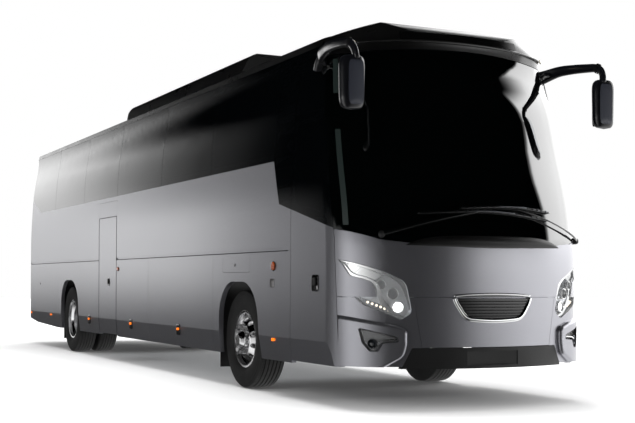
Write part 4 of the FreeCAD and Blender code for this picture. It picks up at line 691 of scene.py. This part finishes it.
tread = tyreGrid()
wheels = {
    "front_tyre_right": ("front_wheel_right", (-1.058,)), "front_tyre_left": ("front_wheel_left", (1.058,)),
    "rear_tyres_right": ("rear_wheels_right", (-1.087, -0.749)),
    "rear_tyres_left": ("rear_wheels_left", (1.087, 0.749)),
}
for node, (body, places) in wheels.items():
    low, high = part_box(node)
    hub = np.array([0, (low.y + high.y) / 2, tyre["radius"]])
    made = stacked(node + "_rubber", [tread + hub + np.array([x, 0, 0]) for x in places],
                   rubber, body)
    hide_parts(node)
print("stage: tyres")

sides = {
    # places along the coach, and the body that each one is on
    "markers": [(-4.594, "coach", "coach"), (-1.817, "luggage_flap_right_front", "luggage_flap_left_front"),
                (0.087, "luggage_flap_right_middle", "luggage_flap_left_middle"),
                (2.191, "luggage_flap_right_rear", "luggage_flap_left_rear"),
                (4.629, "engine_flap_right", "engine_flap_left"),
                (6.121, "engine_flap_right", "engine_flap_left")],
    "markerHeight": 0.55, "markerSize": (0.062, 0.03), "boxSize": (0.12, 0.13),
    "boxed": (1, 2, 3), "boxDeep": 0.009,
    "repeaters": [(-4.589, 1.258), (0.706, 1.272)], "repeaterSize": (0.08, 0.05),
    "recess": (-4.555, 1.094), "recessSize": (0.1, 0.088),
    "frontHandle": (-5.52, 1.097, 0.135, 0.15), "middleHandle": (1.16, 1.094, 0.085, 0.105),
    "fillerLatch": (-3.591, 1.279, 0.032), "rearLatch": (5.42, 1.061, 0.03),
    "railFrom": -4.93, "railTo": 6.13, "railHeight": 1.4, "railDoor": (0.79, 1.67),
    "doorHeights": (0.37, 2.0),
    "strip": (0.009, 0.002),
}


def sidePad(name, y, z, side, wide, high, deep, material, body="coach", power=6.0, dish=0.0, raised=0.0):
    # a button on the side wall, its face along the wall's normal
    place = onSide(y, z, side, raised)
    return surface(name, pad(place, (0, side, 0), (0, 0, 1), wide, high, deep, power, dish), material, body,
                   closeAcross=True)


for side, label in ((-1, "Right"), (1, "Left")):
    for number, (y, rightBody, leftBody) in enumerate(sides["markers"], 1):
        body = rightBody if side < 0 else leftBody
        wide, high = sides["markerSize"]
        boxed = number - 1 in sides["boxed"]
        if boxed:
            sidePad("markerBox%s%d" % (label, number), y, sides["markerHeight"] - 0.008,
                    side, *sides["boxSize"], sides["boxDeep"],
                    pianoBlack, body, 7.0)
        sidePad("sideMarker%s%d" % (label, number), y, sides["markerHeight"], side, wide, high, 0.012,
                amber, body, 3.5, raised=sides["boxDeep"] - 0.002 if boxed else 0.0)
    for number, (y, z) in enumerate(sides["repeaters"], 1):
        body = "coach" if number == 1 or side < 0 else "luggage_flap_left_middle"
        if number == 2 and side < 0:
            body = "luggage_flap_right_middle"
        wide = sides["repeaterSize"][number - 1]
        sidePad("repeaterRim%s%d" % (label, number), y, z, side, wide * 1.2,
                wide * 1.2, 0.004, seal, body, 2.0)
        sidePad("repeater%s%d" % (label, number), y, z, side, wide, wide, 0.01,
                repeaterLens, body, 2.0, raised=0.003)

y, z = sides["recess"]
# the side recess takes the darker lacquer, painted shade
sidePad("sideRecess", y, z, -1, *sides["recessSize"], 0.0035, recessShadedLacquer, power=7.0, dish=0.6)
y, z, wide, high = sides["frontHandle"]
sidePad("frontHandleBowl", y, z, -1, wide, high, 0.006, pianoBlack, "coach", 7.0, dish=0.5)
sidePad("frontHandleGrip", y, z + 0.012, -1, wide * 0.42, high * 0.5, 0.012,
        blackPlastic, "coach", 4.0, raised=0.004)
y, z, wide, high = sides["middleHandle"]
sidePad("middleHandleBowl", y, z, -1, wide, high, 0.006, pianoBlack, "coach", 7.0, dish=0.5)
sidePad("middleHandleGrip", y, z, -1, wide * 0.42, high * 0.5, 0.012, blackPlastic,
        "coach", 4.0, raised=0.004)
y, z, wide = sides["fillerLatch"]
sidePad("fillerLatch", y, z, -1, wide, wide, 0.004, pianoBlack, "fuel_flap", 2.0)
y, z, wide = sides["rearLatch"]
sidePad("rearLatch", y, z, -1, wide, wide * 1.3, 0.004, pianoBlack, "engine_flap_right", 3.0)


def strip(name, path):
    # a black strip of the sides' width and depth along a path
    wide, deep = sides["strip"]
    ringed(name, capped(sweep(path, roundProfile(deep, wide / 2, 4.0, 10), up=(0, 0.3, 1))), seal)


def sidePath(corners, side, count=24):
    # straight runs between (y, z) corners, laid on the side wall
    runs = [np.linspace(a, b, count, endpoint=False) for a, b in zip(corners, corners[1:])]
    yz = np.vstack(runs + [np.asarray(corners[-1:])])
    return onSide(yz[:, 0], yz[:, 1], side, 0.0005)


level = sides["railHeight"]
start, end = sides["railFrom"], sides["railTo"]
fore, aft = sides["railDoor"]
low, high = sides["doorHeights"]
# name, ends in Y and Z, side and steps
strips = [
    ("rubRailRightFront", [(start, level), (fore, level)], -1, 60),
    ("rubRailRightRear", [(aft, level), (end, level)], -1, 60),
    ("rubRailLeft", [(start, level), (end, level)], 1, 120),
    ("doorSealFront", [(fore, low), (fore, high)], -1, 40),
    ("doorSealRear", [(aft, low), (aft, high)], -1, 40),
    ("doorSealHead", [(fore, high), (aft, high)], -1, 20),
]
for name, corners, side, count in strips:
    strip(name, sidePath(corners, side, count))
print("stage: side lamps, handles and strips")

seats = {
    "rows": 13, "firstRow": -3.95, "pitch": 0.79, "offset": 0.75, "apart": 0.215, "deck": 1.35,
    "skip": (0.37, 1.97), "driver": (0.56, -5.18, 0.9), "fill": 0.8, "lean": 0.2,
    "backHeight": 1.13, "driverBack": 1.15, "hipBehind": 0.215, "hipHeight": 0.37,
    "cushion": (0.205, 0.215, 0.085), "backDeep": 0.055, "headrest": (0.135, 0.085, 0.04),
    "channels": 2, "channelDeep": 0.12,
}


def cushion(centre, across, along, out, half, power=4.5, edge=0.75, channels=0,
            depth=0.0, rows=11, columns=36):
    # crowned closed form: superellipse rings whose size is |cos v| ** edge and whose height is sin v, the
    # crown
    # creased by as many lengthwise channels as asked
    v = np.linspace(-np.pi / 2, np.pi / 2, rows)
    plan = roundProfile(1, 1, power, columns)
    x = plan[None, :, 0] * (np.cos(v) ** edge)[:, None]
    y = plan[None, :, 1] * (np.cos(v) ** edge)[:, None]
    z = np.sin(v)[:, None] * np.ones(columns)
    if channels:
        z = z - np.where(z > 0, depth * abs(np.cos(np.pi * (channels + 1) * x / 2)) ** 6, 0)
    axes = [np.asarray(axis, float) for axis in (across, along, out)]
    return (np.asarray(centre, float) + half[0] * x[..., None] * axes[0] + half[1] * y[..., None] * axes[1]
            + half[2] * z[..., None] * axes[2])


def seatForms(x, y, floor, backHeight):
    # cushion, backrest, headrest and shell of one place, in the seat's own lean
    rise = unit(np.array([0, seats["lean"], 1.0]))
    out = np.array([0, -rise[2], rise[1]])
    upright, leaning = [(1, 0, 0), (0, 1, 0), (0, 0, 1)], [(1, 0, 0), rise, out]
    sewn = {"channels": seats["channels"], "depth": seats["channelDeep"]}
    hip = np.array([x, y + seats["hipBehind"], floor + seats["hipHeight"]])
    tall = backHeight - seats["hipHeight"]
    width = seats["cushion"][0]
    pads = cushion((x, y - 0.035, floor + 0.315), *upright, seats["cushion"], **sewn)
    back = cushion(hip + rise * (tall * 0.5 - 0.03), *leaning, (width, tall * 0.5 - 0.02, seats["backDeep"]),
                   **sewn)
    rest = cushion(hip + rise * (tall - 0.12) + out * 0.045, *leaning, seats["headrest"])
    shell = cushion(hip + rise * (tall * 0.5 - 0.01) - out * 0.045, *leaning,
                    (width + 0.004, tall * 0.5, 0.035),
                    power=7.0, edge=0.35)
    pan = cushion((x, y - 0.02, floor + 0.235), *upright, (width, 0.215, 0.03), power=7.0, edge=0.35)
    foot = cushion((x, y, floor + 0.11), *upright, (0.05, 0.1, 0.11), power=7.0, edge=0.1)
    return pads, back, rest, shell, pan, foot


places = []
for row in range(seats["rows"]):
    y = seats["firstRow"] + seats["pitch"] * row
    for side in (-1, 1):
        if side < 0 and seats["skip"][0] < y < seats["skip"][1]:
            continue
        for apart in (-1, 1):
            places.append((side * seats["offset"] + apart * seats["apart"], y))
padNames = ("Cushion", "Backrest", "Headrest")
places = [seatForms(x, y, seats["deck"], seats["backHeight"]) for x, y in places]
shells = stacked("passengerSeatFrames", [grid for place in places for grid in place[len(padNames):]], trim)
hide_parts("passenger_seats")
for index, name in enumerate(padNames):
    made = stacked("passenger" + name + "s", [place[index] for place in places],
                   cloth)
driver = seatForms(*seats["driver"], seats["driverBack"])
shell = stacked("driverSeatFrame", list(driver[len(padNames):]), trim)
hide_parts("driver_seat")
for name, grid in zip(padNames, driver):
    ringed("driver" + name, grid, cloth)
print("stage: seats")

studio = {
    "floorColour": "#f4f4f4", "floorSize": 60.0, "world": 0.55,
    "cameraPlace": (-5.8625, -15.0764, 1.0984), "heading": -25.8143, "roll": -0.3048,
    "lens": 67.26, "shift": (-0.0019, 0.1124),
    # the tent that paint, glass and chrome reflect: a grey for each bearing, in degrees from the nose
    # towards +X.
    # low is the band below the horizon, ring the one at it, sky the one above, and high the one over that
    "low": [(-180, 0.02), (-150, 0.0), (-120, 0.08), (-93, 0.3), (-69, 0.35),
            (-47, 0.12), (-20, 0.0), (10, 0.0),
            (40, 0.2), (60, 0.42), (140, 0.4), (180, 0.2)],
    "ring": [(-180, 0.36), (-170, 0.32), (-166, 0.4), (-163, 0.62), (-160, 0.66), (-157, 0.12), (-153, 0.0),
             (-135, 0.04), (-121, 0.16), (-93, 0.85), (-69, 0.42), (-47, 0.16),
             (-26, 0.0), (-5, 0.0), (6, 0.02),
             (17, 0.24), (28, 0.85), (47, 1.0), (74, 0.7), (110, 0.6), (180, 0.36)],
    "sky": [(-180, 0.68), (-170, 0.66), (-167, 0.5), (-164, 0.22), (-161, 0.05),
            (-157, 0.0), (70, 0.0), (72, 1.0),
            (140, 1.0), (150, 0.3), (180, 0.68)],
    "high": [(-180, 0.0), (70, 0.0), (72, 1.0), (140, 1.0), (150, 0.0)],
    # heights, as shares of the way up, where each turns to the next, and the last to black
    "bands": ((-0.035, 0.02), (0.05, 0.12), (0.16, 0.25), (0.52, 0.66)),
    "tent": 3.0,
    # the floor's glow: distances from the middle, and the strength at each
    "fade": (5.0, 12.0, 0.04, 0.85),
    # soft boxes: name, place, target, size and power
    "boxes": [("overheadBox", (0.5, 1.0, 11), (0, 0, 0), (9, 17), 2300),
              ("edgeBox", (15.5, -1.5, 6.5), (0.0, -4.0, 3.5), (10, 8), 500),
              ("cornerBox", (-13, -12, 7.0), (-1.2, -6, 1.2), (6, 5), 400)],
}


def seenShare(tree):
    # 1 for rays from the camera, off metal or through glass
    path = tree.nodes.new("ShaderNodeLightPath")
    share = path.outputs["Is Camera Ray"]
    for kind in ("Is Glossy Ray", "Is Transmission Ray"):
        larger = tree.nodes.new("ShaderNodeMath")
        larger.operation = "MAXIMUM"
        tree.links.new(share, larger.inputs[0])
        tree.links.new(path.outputs[kind], larger.inputs[1])
        share = larger.outputs[0]
    return share


def greyRamp(tree, stops, source):
    # the bearing runs from -180 to 180 over 0 to 1
    node = tree.nodes.new("ShaderNodeValToRGB")
    ramp = node.color_ramp
    for number, (bearing, level) in enumerate(stops):
        spot = (bearing + 180) / 360
        stop = ramp.elements[number] if number < 2 else ramp.elements.new(spot)
        stop.position = spot
        stop.color = (level, level, level, 1)
    tree.links.new(source, node.inputs["Fac"])
    return node.outputs["Color"]


def mixGrey(tree, share, low, high):
    node = tree.nodes.new("ShaderNodeMix")
    node.data_type = "RGBA"
    tree.links.new(share, node.inputs["Factor"])
    for socket, value in (("A", low), ("B", high)):
        target = [s for s in node.inputs if s.name == socket and s.type == "RGBA"][0]
        if isinstance(value, float):
            target.default_value = (value, value, value, 1)
        else:
            tree.links.new(value, target)
    return [s for s in node.outputs if s.type == "RGBA"][0]


def easeBetween(tree, source, low, high):
    node = tree.nodes.new("ShaderNodeMapRange")
    node.interpolation_type = "SMOOTHSTEP"
    node.inputs["From Min"].default_value, node.inputs["From Max"].default_value = low, high
    tree.links.new(source, node.inputs["Value"])
    return node.outputs["Result"]


world = bpy.data.worlds.new("studioWorld")
scene.world = world
world.use_nodes = True
tree = world.node_tree
grey = mixGrey(tree, seenShare(tree), studio["world"], 1.0)
tree.links.new(grey, tree.nodes["Background"].inputs["Color"])


def tentMaterial():
    # a glowing cloth, painted by the direction from the middle of the studio
    material = bpy.data.materials.new("tentCloth")
    material.use_nodes = True
    tree = material.node_tree
    tree.nodes.clear()
    spot = addNode(material, "ShaderNodeNewGeometry")
    ray = addNode(material, "ShaderNodeVectorMath", {"operation": "NORMALIZE"},
                  links={0: (spot, "Position")})
    parts = addNode(material, "ShaderNodeSeparateXYZ", links={0: (ray, "Vector")})
    ahead = addNode(material, "ShaderNodeMath", {"operation": "MULTIPLY"}, {1: -1.0}, {0: (parts, "Y")})
    bearing = addNode(material, "ShaderNodeMath", {"operation": "ARCTAN2"},
                      links={0: (parts, "X"), 1: (ahead, "Value")})
    turn = addNode(material, "ShaderNodeMapRange", values={"From Min": -math.pi, "From Max": math.pi},
                   links={"Value": (bearing, "Value")})
    low, ring, sky, high = (greyRamp(tree, studio[band], turn.outputs["Result"])
                            for band in ("low", "ring", "sky", "high"))
    height = parts.outputs["Z"]
    toRing, toSky, toHigh, toBlack = studio["bands"]
    grey = mixGrey(tree, easeBetween(tree, height, *toRing), low, ring)
    grey = mixGrey(tree, easeBetween(tree, height, *toSky), grey, sky)
    grey = mixGrey(tree, easeBetween(tree, height, *toHigh), grey, high)
    grey = mixGrey(tree, easeBetween(tree, height, *toBlack), grey, 0.0)
    glow = addNode(material, "ShaderNodeEmission", values={"Strength": studio["tent"]})
    tree.links.new(grey, glow.inputs["Color"])
    end = addNode(material, "ShaderNodeOutputMaterial")
    tree.links.new(glow.outputs["Emission"], end.inputs["Surface"])
    return material


def tentMesh(radius=400.0, rows=24, columns=48):
    # a ball far outside the studio, seen only in reflections
    v = np.linspace(-np.pi / 2, np.pi / 2, rows)[:, None]
    u = np.linspace(0, 2 * np.pi, columns, endpoint=False)[None]
    ball = np.broadcast_arrays(np.cos(v) * np.cos(u), np.cos(v) * np.sin(u), np.sin(v))
    return gridMesh("tent", [radius * np.stack(ball, -1)], True)


tentCover = tentMesh()
tentCover.materials.append(tentMaterial())
tent = bpy.data.objects.new("tent", tentCover)
scene.collection.objects.link(tent)
tent.visible_camera = tent.visible_diffuse = tent.visible_shadow = tent.visible_transmission = False


def flatCard(name, corners, material):
    card = bpy.data.meshes.new(name)
    card.from_pydata([tuple(corner) for corner in corners], [], [tuple(range(len(corners)))])
    card.materials.append(material)
    holder = bpy.data.objects.new(name, card)
    scene.collection.objects.link(holder)
    return holder


# the floor glows a little to the camera, more away from the coach, so that it runs out into white
paper = newMaterial("paperFloor", studio["floorColour"], roughness=0.95, specular=0.0)
seen = seenShare(paper.node_tree)
place = addNode(paper, "ShaderNodeTexCoord")
reach = addNode(paper, "ShaderNodeVectorMath", {"operation": "LENGTH"}, links={0: (place, "Object")})
ends = dict(zip(("From Min", "From Max", "To Min", "To Max"), studio["fade"]))
fade = addNode(paper, "ShaderNodeMapRange", values=ends, links={"Value": (reach, "Value")})
shine = paper.node_tree.nodes.new("ShaderNodeMath")
shine.operation = "MULTIPLY"
paper.node_tree.links.new(seen, shine.inputs[0])
paper.node_tree.links.new(fade.outputs["Result"], shine.inputs[1])
paper.node_tree.nodes["Principled BSDF"].inputs["Emission Color"].default_value = (1, 1, 1, 1)
paper.node_tree.links.new(shine.outputs[0],
                          paper.node_tree.nodes["Principled BSDF"].inputs["Emission Strength"])
half = studio["floorSize"]
floor = flatCard("floor", [(-half, -half, 0), (half, -half, 0), (half, half, 0), (-half, half, 0)], paper)
floor.visible_glossy = False

eye = bpy.data.cameras.new("eye")
eye.lens = studio["lens"]
eye.sensor_width = 36
eye.shift_x, eye.shift_y = studio["shift"]
eye.clip_end = 200
camera = bpy.data.objects.new("camera", eye)
camera.location = studio["cameraPlace"]
camera.rotation_mode = "XYZ"
camera.rotation_euler = (math.radians(90), math.radians(studio["roll"]), math.radians(studio["heading"]))
scene.collection.objects.link(camera)
scene.camera = camera


def softbox(name, place, target, size, power):
    lamp = bpy.data.lights.new(name, "AREA")
    lamp.shape = "RECTANGLE"
    lamp.size, lamp.size_y = size
    lamp.energy = power
    holder = bpy.data.objects.new(name, lamp)
    holder.location = place
    aim = Vector([t - p for t, p in zip(target, place)])
    holder.rotation_euler = aim.to_track_quat("-Z", "Y").to_euler()
    holder.visible_camera = holder.visible_glossy = False
    scene.collection.objects.link(holder)


for box in studio["boxes"]:
    softbox(*box)
scene.view_settings.view_transform = "Standard"
print("stage: studio ready")
